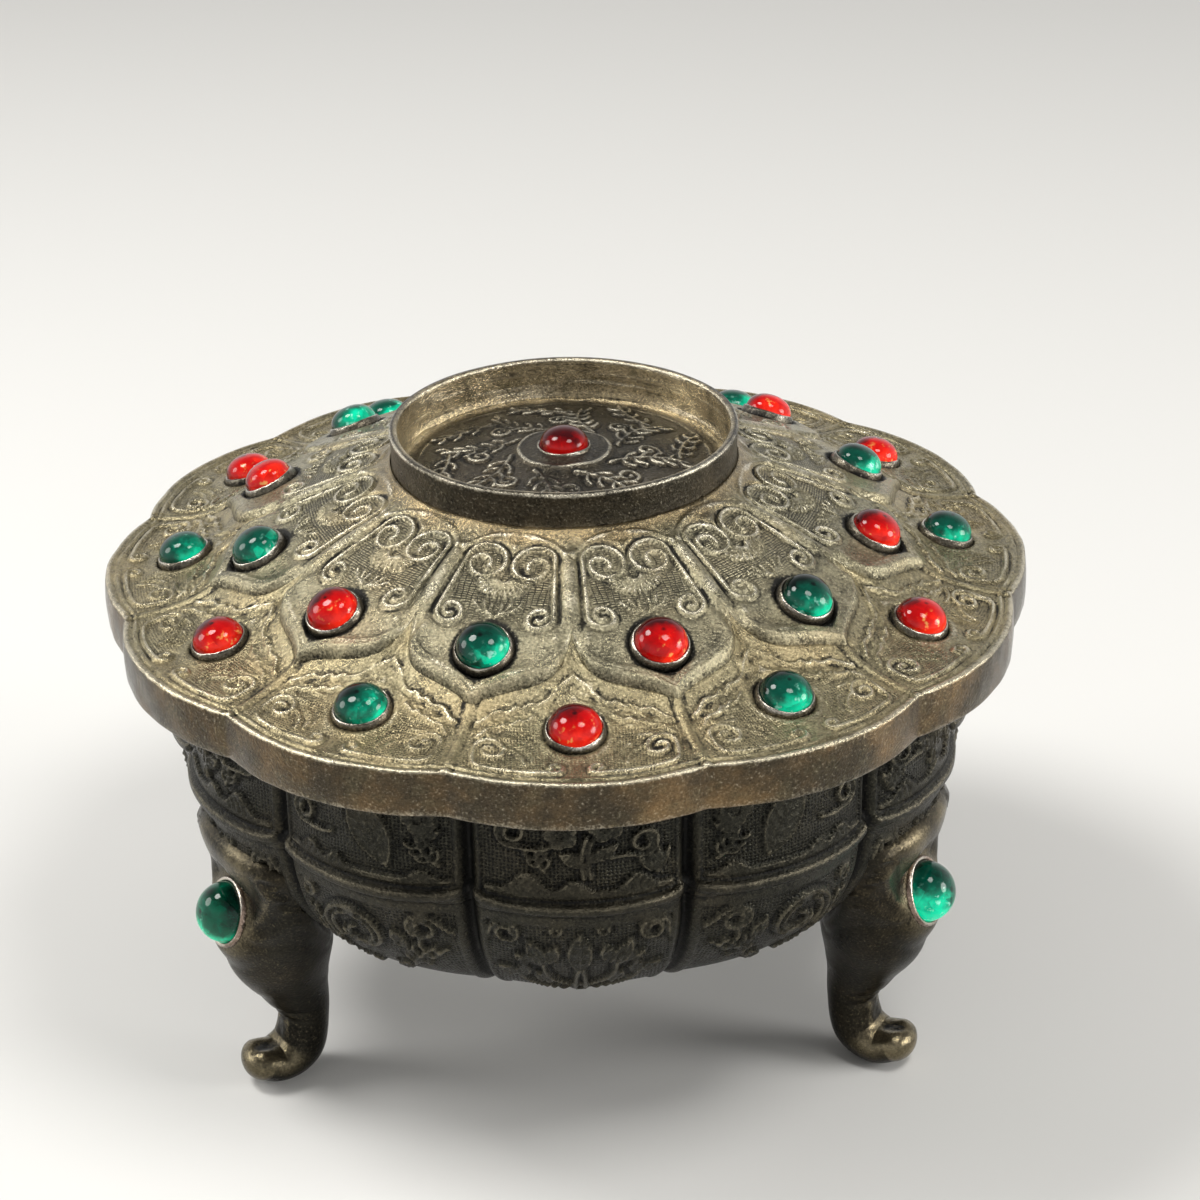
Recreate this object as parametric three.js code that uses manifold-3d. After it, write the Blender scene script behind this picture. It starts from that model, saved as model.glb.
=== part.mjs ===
// A lidded incense burner: a lobed bronze bowl on three beast legs, under a domed lid of lotus petals
// with a ring handle, and glass cabochons in bezel cups.
// Millimetres, +Z up, standing on z = 0 with its axis on Z and its front towards -Y.
import * as THREE from "three";
import { mergeVertices } from "three/addons/utils/BufferGeometryUtils.js";
import Module from "manifold-3d";

const wasm = await Module();
wasm.setup();

// Shared by all pieces
const petalCount = 12; // petals in each ring of the lid, lobes of its rim and panels of the bowl
const joinGap = 0.3; // left between pieces that are soldered, glued or set on one another
const stepsPerPanel = 4; // columns of facets over one panel, beside the one in its groove
const gemSides = 12;
const ringSides = 48;

// Bowl
const groundClearance = 25; // from the table to the flat underside
const lowerTierHeight = 28;
const upperTierHeight = 23;
const bowlRadius = 63.2; // at the grooves between the panels of the upper tier
const bowlFlatRadius = 30;
const bowlWall = 3.4;
const panelBulge = 2.6; // how far a panel swells past its grooves
const panelGrooveWidth = 2.2;
const panelGrooveDepth = 0.8;
const tierBeadHeight = 1.8; // the bead that divides the two tiers
const tierBeadProud = 0.9;
const lowerTierSteps = 5;

// Lid, from its rim in to its crown
const rimOverhang = 9.2; // past the panels of the bowl, at the crest of a lobe
const rimNotch = 2.4;
const rimBand = 7.6;
const rimLip = 3;
const rimEdgeRound = 0.8;
const rimDrop = 2.8; // the rim hangs this far below the mouth of the bowl
const seatMargin = 1; // the seat on the mouth reaches this far past the panels
const lidWall = 3;
const spigotDepth = 5.3; // the ring under the lid that drops into the mouth
const spigotWall = 2.5;
const spigotClearance = 0.5;
const outerPetalLength = 13.8; // from a notch of the rim to the tip of an inner petal
const outerPetalRise = 6.9; // from the rim to where two inner petals part
const outerPetalCurve = 2.05; // exponent of that rise: flat at the rim, steep under the inner petals
const petalCleft = 8.4; // two inner petals part this far in from their tips
const petalTipRise = 3.8; // above the rim
const petalRoll = 2.4; // width of the rolled lower edge of an inner petal
const petalValley = 0.7; // depth of the valley between two inner petals
const crownRise = 17; // from the rim's edge to the foot of the handle ring
const crownBow = 0.9; // swell of the inner petals over a straight cone
const hollowBow = 1.6; // swell of the hollow under the crown

// Handle ring and the medallion inside it
const handleRadius = 28;
const handleWall = 1.3;
const handleRise = 6.5; // above the crown
const handleSeatDepth = 2.5; // counterbore in the crown
const handleEdgeRound = 0.5;
const medallionThickness = 1.2; // at its edge
const medallionRise = 2.6; // of its domed top, from the edge to the middle
const medallionSteps = 4;

// Cabochons of the lid and their cups
const gemRadius = 4.3;
const gemGirdle = 1.1;
const gemDome = 3.4;
const gemDomeSteps = 3;
const cupWall = 0.7;
const cupFloor = 0.6;
const cupHeight = 2.3;
const cupSunk = 1.1; // depth of the drilled seats in the lid and the medallion
const innerGemInset = 8.4; // from the tip of an inner petal
const outerGemInset = 10.4; // from a notch of the rim

// Legs. Each station is [reach past the bowl's radius, height, half depth, half width], from the toe up.
const legCount = 3;
const footStations = [
  // heights above the table
  [-0.2, 5.2, 3.1, 4.3],
  [-4.6, 2.8, 3.8, 4.9],
  [-9.2, 6, 4.4, 4.6],
  [-10.3, 12, 4.3, 4.4],
];
const kneeStations = [
  // heights above the underside of the bowl
  [-9, -7, 6.2, 6],
  [-7.2, 0, 8.8, 8.8],
  [-6, 8, 8, 11.5],
  [-5.2, 16, 6.4, 13.5],
  [-4.6, 25.6, 6.8, 14.5],
];
const toeRoundReach = 0.45; // how far the round end of the toe reaches, in half depths of the toe
const toeRoundSize = 0.7; // size of the toe halfway along that end
const legSteps = 18;
const legSides = 16;
const legGemRadius = 5;
const legGemDome = 3.9;
const legGemRise = 9.5; // above the underside of the bowl
const legGemReach = 1.4; // past the bowl's radius
const legGemTilt = 20; // degrees above the horizontal
const legCupWall = 0.9;
const legCupProud = 0.5;
const legCupFlare = 2; // how much wider the cup is where it grows out of the knee
const legPocketDepth = 1.4;

// Heights and radii that follow from the sizes above
const lobeAngle = (2 * Math.PI) / petalCount;
const tierHeight = groundClearance + lowerTierHeight;
const mouthHeight = tierHeight + upperTierHeight;
const bowlBore = bowlRadius - bowlWall;
const seatHeight = mouthHeight + joinGap;
const seatRadius = bowlRadius + panelBulge + seatMargin;
const rimRadius = bowlRadius + panelBulge + rimOverhang;
const notchRadius = rimRadius - rimNotch;
const rimBottom = seatHeight - rimDrop;
const rimTop = rimBottom + rimBand;
const spigotRadius = bowlBore - spigotClearance;
const spigotBore = spigotRadius - spigotWall;
const petalTipRadius = notchRadius - outerPetalLength;
const petalCleftRadius = petalTipRadius - petalCleft;
const crownTop = rimTop + crownRise;
const handleSeatRadius = handleRadius + joinGap;
const handleSeatHeight = crownTop - handleSeatDepth;
const handleFoot = handleSeatHeight + joinGap;
const handleTop = crownTop + handleRise;
const handleBore = handleRadius - handleWall;
const medallionRadius = handleBore - joinGap;
const medallionEdge = handleFoot + medallionThickness;
const medallionSeat = medallionEdge + medallionRise - cupSunk;
const cupBore = gemRadius + joinGap;
const cupRadius = cupBore + cupWall;
const drillRadius = cupRadius + joinGap;

// Finishes
const bronze = (color, roughness) => new THREE.MeshStandardMaterial({ color, roughness, metalness: 0.9 });
const glass = (color) => new THREE.MeshStandardMaterial({ color, roughness: 0.06, metalness: 0 });
const finish = {
  bowl: bronze(0x4a4236, 0.5),
  lid: bronze(0x6b6450, 0.48),
  handle: bronze(0x5f564a, 0.38),
  leg: bronze(0x554b3e, 0.42),
  cup: bronze(0x8a8274, 0.32),
  red: glass(0xc4141a),
  green: glass(0x0b6b4f),
};

const mix = (from, to, share) => from + (to - from) * share;
const axisPoint = (z) => new THREE.Vector3(0, 0, z);

// A closed mesh as a solid for cutting and joining.
function solidOf(geometry, matrix = new THREE.Matrix4()) {
  const bare = geometry.clone().applyMatrix4(matrix);
  bare.deleteAttribute("normal");
  bare.deleteAttribute("uv");
  const merged = mergeVertices(bare);
  const vertProperties = new Float32Array(merged.attributes.position.array);
  const triVerts = new Uint32Array(merged.index.array);
  return new wasm.Manifold(new wasm.Mesh({ numProp: 3, vertProperties, triVerts }));
}

// A solid back as a geometry to draw.
function geometryOf(solid) {
  const { vertProperties, triVerts } = solid.getMesh();
  const geometry = new THREE.BufferGeometry();
  geometry.setAttribute("position", new THREE.BufferAttribute(new Float32Array(vertProperties), 3));
  geometry.setIndex(new THREE.BufferAttribute(new Uint32Array(triVerts), 1));
  geometry.computeVertexNormals();
  return geometry;
}

// Skins a stack of rings of points, closed at each end by a pole, as one surface that faces out.
function loftRings(startPole, rings, endPole) {
  const count = rings[0].length;
  const points = [startPole, ...rings.flat(), endPole];
  const last = points.length - 1;
  const at = (row, column) => 1 + row * count + (column % count);
  const top = rings.length - 1;
  const index = [];
  for (let c = 0; c < count; c++) {
    index.push(0, at(0, c + 1), at(0, c));
    for (let r = 0; r < top; r++) {
      index.push(at(r, c), at(r, c + 1), at(r + 1, c + 1));
      index.push(at(r, c), at(r + 1, c + 1), at(r + 1, c));
    }
    index.push(last, at(top, c), at(top, c + 1));
  }
  const geometry = new THREE.BufferGeometry().setFromPoints(points);
  geometry.setIndex(index);
  geometry.computeVertexNormals();
  return geometry;
}

// A profile of [radius, height] points, starting and ending on the axis or closed, turned about Z.
function turned(profile, sides) {
  const points = profile.map(([radius, height]) => new THREE.Vector2(radius, height));
  return new THREE.LatheGeometry(points, sides).rotateX(Math.PI / 2);
}

// Columns round the axis. "across" runs from -1 in one groove of a lobe to 1 in the next.
function lobeColumns() {
  const panelEdge = 1 - panelGrooveWidth / (bowlRadius * lobeAngle);
  const shares = [-1];
  for (let k = 0; k <= stepsPerPanel; k++) shares.push(mix(-panelEdge, panelEdge, k / stepsPerPanel));
  const columns = [];
  for (let lobe = 0; lobe < petalCount; lobe++) {
    for (const across of shares) columns.push({ angle: (lobe + across / 2) * lobeAngle, across });
  }
  return columns;
}
const columns = lobeColumns();

// One ring of points from a rule that gives [radius, height] for a place across its lobe.
function ring(rule) {
  return columns.map(({ angle, across }) => {
    const [radius, height] = rule(across);
    return new THREE.Vector3(radius * Math.cos(angle), radius * Math.sin(angle), height);
  });
}

// Swell of a lobe between its grooves, and that of a bowl panel with the groove cut beside it.
const lobeSwell = (across) => 1 - across * across;
const grooveCut = (across) => (Math.abs(across) === 1 ? panelGrooveDepth : 0);
const panelSwell = (across) => panelBulge * lobeSwell(across) - grooveCut(across);

// Outside of the bowl from its underside to its mouth, grown outwards by a clearance where one is asked for.
function bowlOutside(grow = 0) {
  const rings = [ring(() => [bowlFlatRadius, groundClearance - grow])];
  for (let k = 1; k <= lowerTierSteps; k++) {
    const turn = ((k / lowerTierSteps) * Math.PI) / 2;
    const swell = Math.sin(turn);
    const inset = k === lowerTierSteps ? tierBeadProud : 0;
    const radius = mix(bowlFlatRadius, bowlRadius + grow, swell) - inset;
    const height = tierHeight - (lowerTierHeight + grow) * Math.cos(turn);
    rings.push(ring((a) => [radius + panelSwell(a) * swell * swell, height]));
  }
  const upper = (height, proud) => ring((a) => [bowlRadius + grow + proud + panelSwell(a), height]);
  rings.push(upper(tierHeight, tierBeadProud));
  rings.push(upper(tierHeight + tierBeadHeight, tierBeadProud));
  rings.push(upper(tierHeight + tierBeadHeight + tierBeadProud, 0));
  rings.push(upper(mouthHeight + grow, 0));
  return rings;
}

function bowlGeometry() {
  const inside = [ring(() => [bowlBore, mouthHeight])];
  const floorHeight = groundClearance + bowlWall;
  for (let k = lowerTierSteps; k >= 0; k--) {
    const turn = ((k / lowerTierSteps) * Math.PI) / 2;
    const radius = mix(bowlFlatRadius - bowlWall, bowlBore, Math.sin(turn));
    const height = mix(tierHeight, floorHeight, Math.cos(turn));
    inside.push(ring(() => [radius, height]));
  }
  return loftRings(axisPoint(groundClearance), [...bowlOutside(), ...inside], axisPoint(floorHeight));
}

// Edge of the rim, and lower edge of the inner petals: pointed over each notch, cleft over each lobe.
const rimEdge = (across) => notchRadius + rimNotch * lobeSwell(across);
const petalEdge = (across) => mix(petalCleftRadius, petalTipRadius, Math.abs(across));

// Height of the outer petals, and of the ground under the inner ones, at a distance from the axis.
function outerPetalHeight(radius) {
  const share = (notchRadius - radius) / (notchRadius - petalCleftRadius);
  return rimTop + outerPetalRise * Math.pow(Math.max(share, 0), outerPetalCurve);
}

// Height of the inner petals at a distance from the axis.
function innerPetalHeight(radius) {
  const share = (radius - handleSeatRadius) / (petalTipRadius - handleSeatRadius);
  return rimTop + mix(crownRise, petalTipRise, share) + 4 * crownBow * share * (1 - share);
}

// Underside of the crown at a distance from the axis, out to the spigot.
function hollowHeight(radius) {
  const share = radius / spigotBore;
  const foot = outerPetalHeight(spigotBore) - lidWall;
  return mix(handleSeatHeight - lidWall, foot, share) + 4 * hollowBow * share * (1 - share);
}

function lidUnderside() {
  const hollow = [1 / 3, 2 / 3, 1].map((share) => {
    const radius = spigotBore * share;
    return ring(() => [radius, hollowHeight(radius)]);
  });
  const overhangHeight = rimTop - lidWall;
  return [
    ...hollow,
    ring(() => [spigotBore, seatHeight - spigotDepth]),
    ring(() => [spigotRadius, seatHeight - spigotDepth]),
    ring(() => [spigotRadius, seatHeight]),
    ring(() => [seatRadius, seatHeight]),
    ring(() => [seatRadius, overhangHeight]),
    ring((a) => [rimEdge(a) - rimLip, overhangHeight]),
    ring((a) => [rimEdge(a) - rimLip, rimBottom]),
  ];
}

function lidTop() {
  const band = [
    ring((a) => [rimEdge(a) - rimEdgeRound, rimBottom]),
    ring((a) => [rimEdge(a), rimBottom + rimEdgeRound]),
    ring((a) => [rimEdge(a), rimTop - rimEdgeRound]),
  ];
  const outerPetals = [0, 1 / 3, 2 / 3, 1].map((share) =>
    ring((a) => {
      const radius = mix(rimEdge(a) - rimEdgeRound, petalEdge(a), share);
      return [radius, outerPetalHeight(radius)];
    }),
  );
  const rollShare = 0.3;
  const roll = ring((a) => {
    const low = outerPetalHeight(petalEdge(a));
    const high = innerPetalHeight(petalEdge(a) - petalRoll);
    return [petalEdge(a) - petalRoll * rollShare, mix(low, high, Math.sqrt(rollShare * (2 - rollShare)))];
  });
  const innerPetals = [0, 1 / 4, 1 / 2, 3 / 4, 1].map((share) =>
    ring((a) => {
      const radius = mix(petalEdge(a) - petalRoll, handleSeatRadius, share);
      const valley = petalValley * Math.pow(1 - Math.abs(a), 4) * (1 - share);
      return [radius, innerPetalHeight(radius) - valley];
    }),
  );
  const seat = ring(() => [handleSeatRadius, handleSeatHeight]);
  return [...band, ...outerPetals, roll, ...innerPetals, seat];
}

// Frame of a gem's cup on the lid, at a distance and direction from the axis, tilted with the slope there.
function lidSeat(radius, heightAt, angle) {
  const rise = heightAt(radius + joinGap) - heightAt(radius - joinGap);
  const seat = new THREE.Group();
  seat.position.set(radius * Math.cos(angle), radius * Math.sin(angle), heightAt(radius));
  seat.rotation.set(0, -Math.atan2(rise, 2 * joinGap), angle, "ZYX");
  seat.updateMatrix();
  return seat;
}

function lidSeats() {
  const seats = [];
  for (let k = 0; k < petalCount; k++) {
    const stone = k % 2 ? "red" : "green";
    const number = String(k + 1).padStart(2, "0");
    const inner = lidSeat(petalTipRadius - innerGemInset, innerPetalHeight, (k + 0.5) * lobeAngle);
    const outer = lidSeat(notchRadius - outerGemInset, outerPetalHeight, k * lobeAngle);
    seats.push({ seat: inner, name: `inner_petal_${number}`, stone });
    seats.push({ seat: outer, name: `outer_petal_${number}`, stone });
  }
  return seats;
}

function lidGeometry(seats) {
  const underPole = axisPoint(handleSeatHeight - lidWall);
  const shell = loftRings(underPole, [...lidUnderside(), ...lidTop()], axisPoint(handleSeatHeight));
  const drillLength = cupSunk + cupHeight;
  const drill = new THREE.CylinderGeometry(drillRadius, drillRadius, drillLength, gemSides)
    .rotateX(Math.PI / 2)
    .translate(0, 0, drillLength / 2 - cupSunk);
  let lid = solidOf(shell);
  for (const { seat } of seats) lid = lid.subtract(solidOf(drill, seat.matrix));
  return geometryOf(lid);
}

// A bezel cup with its underside on z = 0.
function cupGeometry() {
  const profile = [
    [0, 0],
    [cupRadius, 0],
    [cupRadius, cupHeight],
    [cupBore, cupHeight],
    [cupBore, cupFloor],
    [0, cupFloor],
  ];
  return turned(profile, gemSides);
}

// A flat-backed cabochon with its back on z = 0.
function gemGeometry(radius, dome) {
  const profile = [
    [0, 0],
    [radius, 0],
    [radius, gemGirdle],
  ];
  for (let k = 1; k < gemDomeSteps; k++) {
    const turn = ((k / gemDomeSteps) * Math.PI) / 2;
    profile.push([radius * Math.cos(turn), gemGirdle + dome * Math.sin(turn)]);
  }
  profile.push([0, gemGirdle + dome]);
  return turned(profile, gemSides);
}

function handleGeometry() {
  const profile = [
    [handleBore, handleFoot],
    [handleRadius, handleFoot],
    [handleRadius, handleTop - handleEdgeRound],
    [handleRadius - handleEdgeRound, handleTop],
    [handleBore + handleEdgeRound, handleTop],
    [handleBore, handleTop - handleEdgeRound],
    [handleBore, handleFoot],
  ];
  return turned(profile, ringSides);
}

// A domed disc, drilled in the middle for the cup of its gem.
function medallionGeometry() {
  const profile = [
    [0, handleFoot],
    [medallionRadius, handleFoot],
  ];
  for (let k = 0; k <= medallionSteps; k++) {
    const radius = mix(medallionRadius, drillRadius, k / medallionSteps);
    const fall = radius / medallionRadius;
    profile.push([radius, medallionEdge + medallionRise * (1 - fall * fall)]);
  }
  profile.push([drillRadius, medallionSeat], [0, medallionSeat]);
  return turned(profile, ringSides);
}

// A leg in its own upright plane: reach from the axis along X, width along Y, height along Z.
function legSweep() {
  const raised = kneeStations.map(([x, z, depth, width]) => [x, groundClearance + z, depth, width]);
  const stations = [...footStations, ...raised];
  const curve = (pointAt) => new THREE.CatmullRomCurve3(stations.map(pointAt));
  const spine = curve(([x, z]) => new THREE.Vector3(bowlRadius + x, 0, z));
  const girth = curve(([, , depth, width]) => new THREE.Vector3(depth, width, 0));
  const sideways = new THREE.Vector3(0, 1, 0);
  const section = (share, size, back) => {
    const along = spine.getTangent(share);
    const outward = new THREE.Vector3().crossVectors(sideways, along);
    const { x: depth, y: width } = girth.getPoint(share);
    const centre = spine.getPoint(share).addScaledVector(along, -back * depth);
    return Array.from({ length: legSides }, (_, k) => {
      const turn = (k / legSides) * 2 * Math.PI;
      const point = centre.clone().addScaledVector(outward, size * depth * Math.cos(turn));
      return point.addScaledVector(sideways, size * width * Math.sin(turn));
    });
  };
  // The toe is rounded off past the first station, and the top is closed flat inside the bowl's swell.
  const rings = [section(0, toeRoundSize, toeRoundReach / 2)];
  for (let k = 0; k <= legSteps; k++) rings.push(section(k / legSteps, 1, 0));
  const toeTip = spine.getPoint(0).addScaledVector(spine.getTangent(0), -toeRoundReach * girth.getPoint(0).x);
  return loftRings(toeTip, rings, spine.getPoint(1));
}

// Frame of a leg's gem, which stands on the knee and looks out and a little up.
function legGemSeat() {
  const seat = new THREE.Group();
  seat.position.set(bowlRadius + legGemReach, 0, groundClearance + legGemRise);
  seat.rotation.y = Math.PI / 2 - THREE.MathUtils.degToRad(legGemTilt);
  seat.updateMatrix();
  return seat;
}

// A leg with its cast cup, cut to the bowl that it is brazed to and flat on the table.
function legGeometry(angle) {
  const seat = legGemSeat().matrix;
  const pocketRadius = legGemRadius + joinGap;
  const plug = (radius, from, to, flare = 0) => {
    const shape = new THREE.CylinderGeometry(radius, radius + flare, to - from, gemSides);
    return solidOf(shape.rotateX(Math.PI / 2).translate(0, 0, (from + to) / 2), seat);
  };
  const cup = plug(pocketRadius + legCupWall, -legGemRadius, legCupProud, legCupFlare);
  const pocket = plug(pocketRadius, legCupProud - legPocketDepth, legCupProud + legPocketDepth);
  const tableSize = 4 * rimRadius;
  const table = new THREE.BoxGeometry(tableSize, tableSize, tableSize).translate(0, 0, -tableSize / 2);
  const bowl = loftRings(
    axisPoint(groundClearance - joinGap),
    bowlOutside(joinGap),
    axisPoint(mouthHeight + joinGap),
  ).rotateZ(-angle);
  const leg = solidOf(legSweep()).add(cup).subtract(pocket).subtract(solidOf(bowl)).subtract(solidOf(table));
  return geometryOf(leg);
}

function mesh(name, geometry, material) {
  const made = new THREE.Mesh(geometry, material);
  made.name = name;
  return made;
}

// A cup and its gem in the frame of their seat, with the cup on the floor of the seat.
function setInCup(seat, name, stone, seatFloor) {
  const cup = mesh(`${name}_bezel`, cupGeometry(), finish.cup);
  const gem = mesh(`${name}_gem`, gemGeometry(gemRadius, gemDome), finish[stone]);
  cup.position.z = seatFloor + joinGap;
  gem.position.z = cup.position.z + cupFloor + joinGap;
  seat.add(cup, gem);
  return seat;
}

function lidGroup() {
  const group = new THREE.Group();
  const seats = lidSeats();
  group.add(mesh("lid", lidGeometry(seats), finish.lid));
  group.add(mesh("handle_ring", handleGeometry(), finish.handle));
  group.add(mesh("handle_medallion", medallionGeometry(), finish.handle));
  group.add(setInCup(new THREE.Group(), "medallion", "red", medallionSeat));
  for (const { seat, name, stone } of seats) group.add(setInCup(seat, name, stone, -cupSunk));
  return group;
}

function bowlGroup() {
  const group = new THREE.Group();
  group.add(mesh("bowl", bowlGeometry(), finish.bowl));
  const places = ["rear", "front_left", "front_right"];
  for (let k = 0; k < legCount; k++) {
    const angle = Math.PI / 2 + (k * 2 * Math.PI) / legCount;
    const name = `leg_${places[k] ?? k + 1}`;
    const leg = new THREE.Group();
    leg.rotation.z = angle;
    const seat = legGemSeat();
    const gem = mesh(`${name}_gem`, gemGeometry(legGemRadius, legGemDome), finish.green);
    gem.position.z = legCupProud - legPocketDepth + joinGap;
    seat.add(gem);
    leg.add(mesh(name, legGeometry(angle), finish.leg), seat);
    group.add(leg);
  }
  return group;
}

const burner = new THREE.Group();
burner.add(bowlGroup(), lidGroup());

export default burner;
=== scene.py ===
import functools
import math
import bpy
import numpy as np
from mathutils import Matrix, Vector


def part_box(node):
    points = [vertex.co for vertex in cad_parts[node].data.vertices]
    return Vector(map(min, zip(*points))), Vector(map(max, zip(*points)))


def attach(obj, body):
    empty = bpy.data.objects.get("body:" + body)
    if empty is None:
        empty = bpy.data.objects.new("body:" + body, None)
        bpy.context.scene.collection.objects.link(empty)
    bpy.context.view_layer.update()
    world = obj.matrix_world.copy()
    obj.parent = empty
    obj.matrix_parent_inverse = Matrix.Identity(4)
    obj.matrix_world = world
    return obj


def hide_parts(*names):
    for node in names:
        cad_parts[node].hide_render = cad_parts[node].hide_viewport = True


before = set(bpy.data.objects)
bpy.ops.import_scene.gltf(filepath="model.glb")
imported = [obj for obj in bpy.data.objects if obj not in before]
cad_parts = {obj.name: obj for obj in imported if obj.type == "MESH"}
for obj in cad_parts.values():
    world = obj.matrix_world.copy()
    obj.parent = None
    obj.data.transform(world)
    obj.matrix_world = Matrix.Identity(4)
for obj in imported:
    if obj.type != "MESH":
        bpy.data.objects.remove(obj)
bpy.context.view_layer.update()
mm = 0.001  # shapes are worked out in millimetres and go into the meshes in metres
lobeCount = 12
lobeAngle = 2 * math.pi / lobeCount
halfLobe = lobeAngle / 2


def nodeBox(node):
    # lowest and highest corners of a CAD node, in millimetres
    low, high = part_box(node)
    return np.array(low) / mm, np.array(high) / mm


lidLow, lidHigh = nodeBox("lid")
bowlLow, bowlHigh = nodeBox("bowl")
ringLow, ringHigh = nodeBox("handle_ring")
discLow, discHigh = nodeBox("handle_medallion")
print("frame loaded, lid", lidHigh - lidLow, "bowl", bowlHigh - bowlLow)


# Small tools


def mix(low, high, share):
    return low + (high - low) * share


def smooth(low, high, value):
    # 0 below low, 1 above high and an S-curve between
    share = np.clip((value - low) / (high - low), 0, 1)
    return share * share * (3 - 2 * share)


def swell(distance, width):
    # a soft rounded line: 1 on it, falling off over its width
    return np.exp(-((distance / width) ** 2))


def ripple(points, size, seed, waves=9):
    # uneven hand-made swell, about -1 to 1: the mean of sines along seeded directions in space
    draw = np.random.default_rng(seed)
    heading = draw.normal(size=(waves, 3))
    heading = heading / np.linalg.norm(heading, axis=1)[:, None]
    pitch = 2 * math.pi / (size * draw.uniform(0.6, 1.7, waves))
    phase = draw.uniform(0, 2 * math.pi, waves)
    return 1.6 * np.sin(points @ (heading * pitch[:, None]).T + phase).mean(axis=-1)


def curl(centre, radius, small, start, turns, bend=1.5, count=70):
    # a spiral from radius to small about a centre, with start and turns counted in whole turns
    share = np.linspace(0, 1, count)
    size = radius + (small - radius) * share**bend
    angle = 2 * math.pi * (start + turns * share)
    return np.stack([centre[0] + size * np.cos(angle), centre[1] + size * np.sin(angle)], axis=1)


def bow(start, end, lift, count=14):
    # an arc from start to end that bulges to its left by lift
    share = np.linspace(0, 1, count)[:, None]
    start = np.array(start, float)
    end = np.array(end, float)
    side = np.array([start[1] - end[1], end[0] - start[0]])
    side = side / max(np.hypot(*side), 1e-6)
    return mix(start, end, share) + side * lift * 4 * share * (1 - share)


def strokeGap(x, y, path):
    # distance from each point of the grid to a polyline, one segment of the line at a time
    best = np.full(np.shape(x), 1e9)
    for start, end in zip(path[:-1], path[1:]):
        run = end - start
        length = max(run @ run, 1e-12)
        share = np.clip(((x - start[0]) * run[0] + (y - start[1]) * run[1]) / length, 0, 1)
        gap = (x - start[0] - share * run[0]) ** 2 + (y - start[1] - share * run[1]) ** 2
        best = np.minimum(best, gap)
    return np.sqrt(best)


def enclosed(x, y, path):
    # which points lie inside a closed polyline: an odd number of its sides is met on the way to the right
    inside = np.zeros(np.shape(x), bool)
    for start, end in zip(path, np.roll(path, -1, axis=0)):
        run = end - start
        if run[1]:
            met = x < start[0] + (y - start[1]) * run[0] / run[1]
            inside ^= met & ((start[1] > y) != (end[1] > y))
    return inside


def carve(x, y, strokes):
    # relief of strokes (path, width, height, and fill for closed ones): raised lines join, each in a
    # shallow moat, fills lift what they enclose, and cut lines join
    raised = np.zeros(np.shape(x))
    moat = np.zeros(np.shape(x))
    cut = np.zeros(np.shape(x))
    for path, width, height, *fill in strokes:
        gap = strokeGap(x, y, path)
        if height > 0:
            raised = np.maximum(raised, height * swell(gap, width))
            moat = np.maximum(moat, 0.45 * height * swell(gap - 2.1 * width, 0.8 * width))
        else:
            cut = np.minimum(cut, height * swell(gap, width))
        if fill:
            raised = np.maximum(raised, fill[0] * smooth(0.0, 0.3, gap) * enclosed(x, y, path))
    return raised - moat * smooth(0.16, 0.04, raised) + cut


def standing(height, reach):
    # how far a relief stands above or below its surroundings, on a grid that closes sideways
    spread = sum(np.roll(height, k, axis=1) for k in range(-reach, reach + 1)) / (2 * reach + 1)
    padded = np.pad(spread, ((reach, reach), (0, 0)), mode="edge")
    rows = height.shape[0]
    mean = sum(padded[k:k + rows] for k in range(2 * reach + 1)) / (2 * reach + 1)
    return height - mean


def circle(count):
    # angles of equal steps all round
    return np.linspace(0, 2 * math.pi, count + 1)[:-1]


def away(root, length, heading):
    # the end of a straight run from a root
    return (root[0] + length * math.cos(heading), root[1] + length * math.sin(heading))


def polar(radius, angle, height):
    radius, angle, height = np.broadcast_arrays(radius, angle, height)
    return np.stack([radius * np.cos(angle), radius * np.sin(angle), height], axis=-1)


def addObject(name, data):
    made = bpy.data.objects.new(name, data)
    bpy.context.collection.objects.link(made)
    return made


def skin(name, rows, poles=None, layers=None):
    # faces over a grid of points, closed sideways; poles close its first and last row, else the rows close
    # too; each layer is an attribute with a value or a vector for each point
    count, columns = rows.shape[:2]
    number = np.arange(count * columns).reshape(count, columns)
    after = np.roll(number, -1, axis=1)
    if poles is None:
        number = np.vstack([number, number[:1]])
        after = np.vstack([after, after[:1]])
    quads = np.stack([number[:-1], after[:-1], after[1:], number[1:]], axis=-1).reshape(-1, 4)
    points = rows.reshape(-1, 3)
    faces = quads.tolist()
    if poles is not None:
        first = np.full(columns, len(points))
        points = np.vstack([points, poles])
        faces += np.stack([first, after[0], number[0]], axis=1).tolist()
        faces += np.stack([first + 1, number[-1], after[-1]], axis=1).tolist()
    mesh = bpy.data.meshes.new(name)
    mesh.from_pydata((points * mm).tolist(), [], faces)
    mesh.polygons.foreach_set("use_smooth", np.ones(len(mesh.polygons), bool))
    for layer, values in (layers or {}).items():
        parts = np.shape(values)[2:]
        flat = np.zeros((len(points), *parts), np.float32)
        flat[:count * columns] = np.broadcast_to(values, (count, columns, *parts)).reshape(-1, *parts)
        kind, field = ("FLOAT_VECTOR", "vector") if flat.ndim == 2 else ("FLOAT", "value")
        mesh.attributes.new(layer, kind, "POINT").data.foreach_set(field, flat.reshape(-1))
    mesh.update()
    return addObject(name, mesh)


def place(piece, body, slot, material, *nodes):
    # gives a piece its finish, its body and the CAD nodes that it stands for
    piece.data.materials.append(material)
    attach(piece, body)
    if nodes:
        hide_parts(*nodes)


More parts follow.
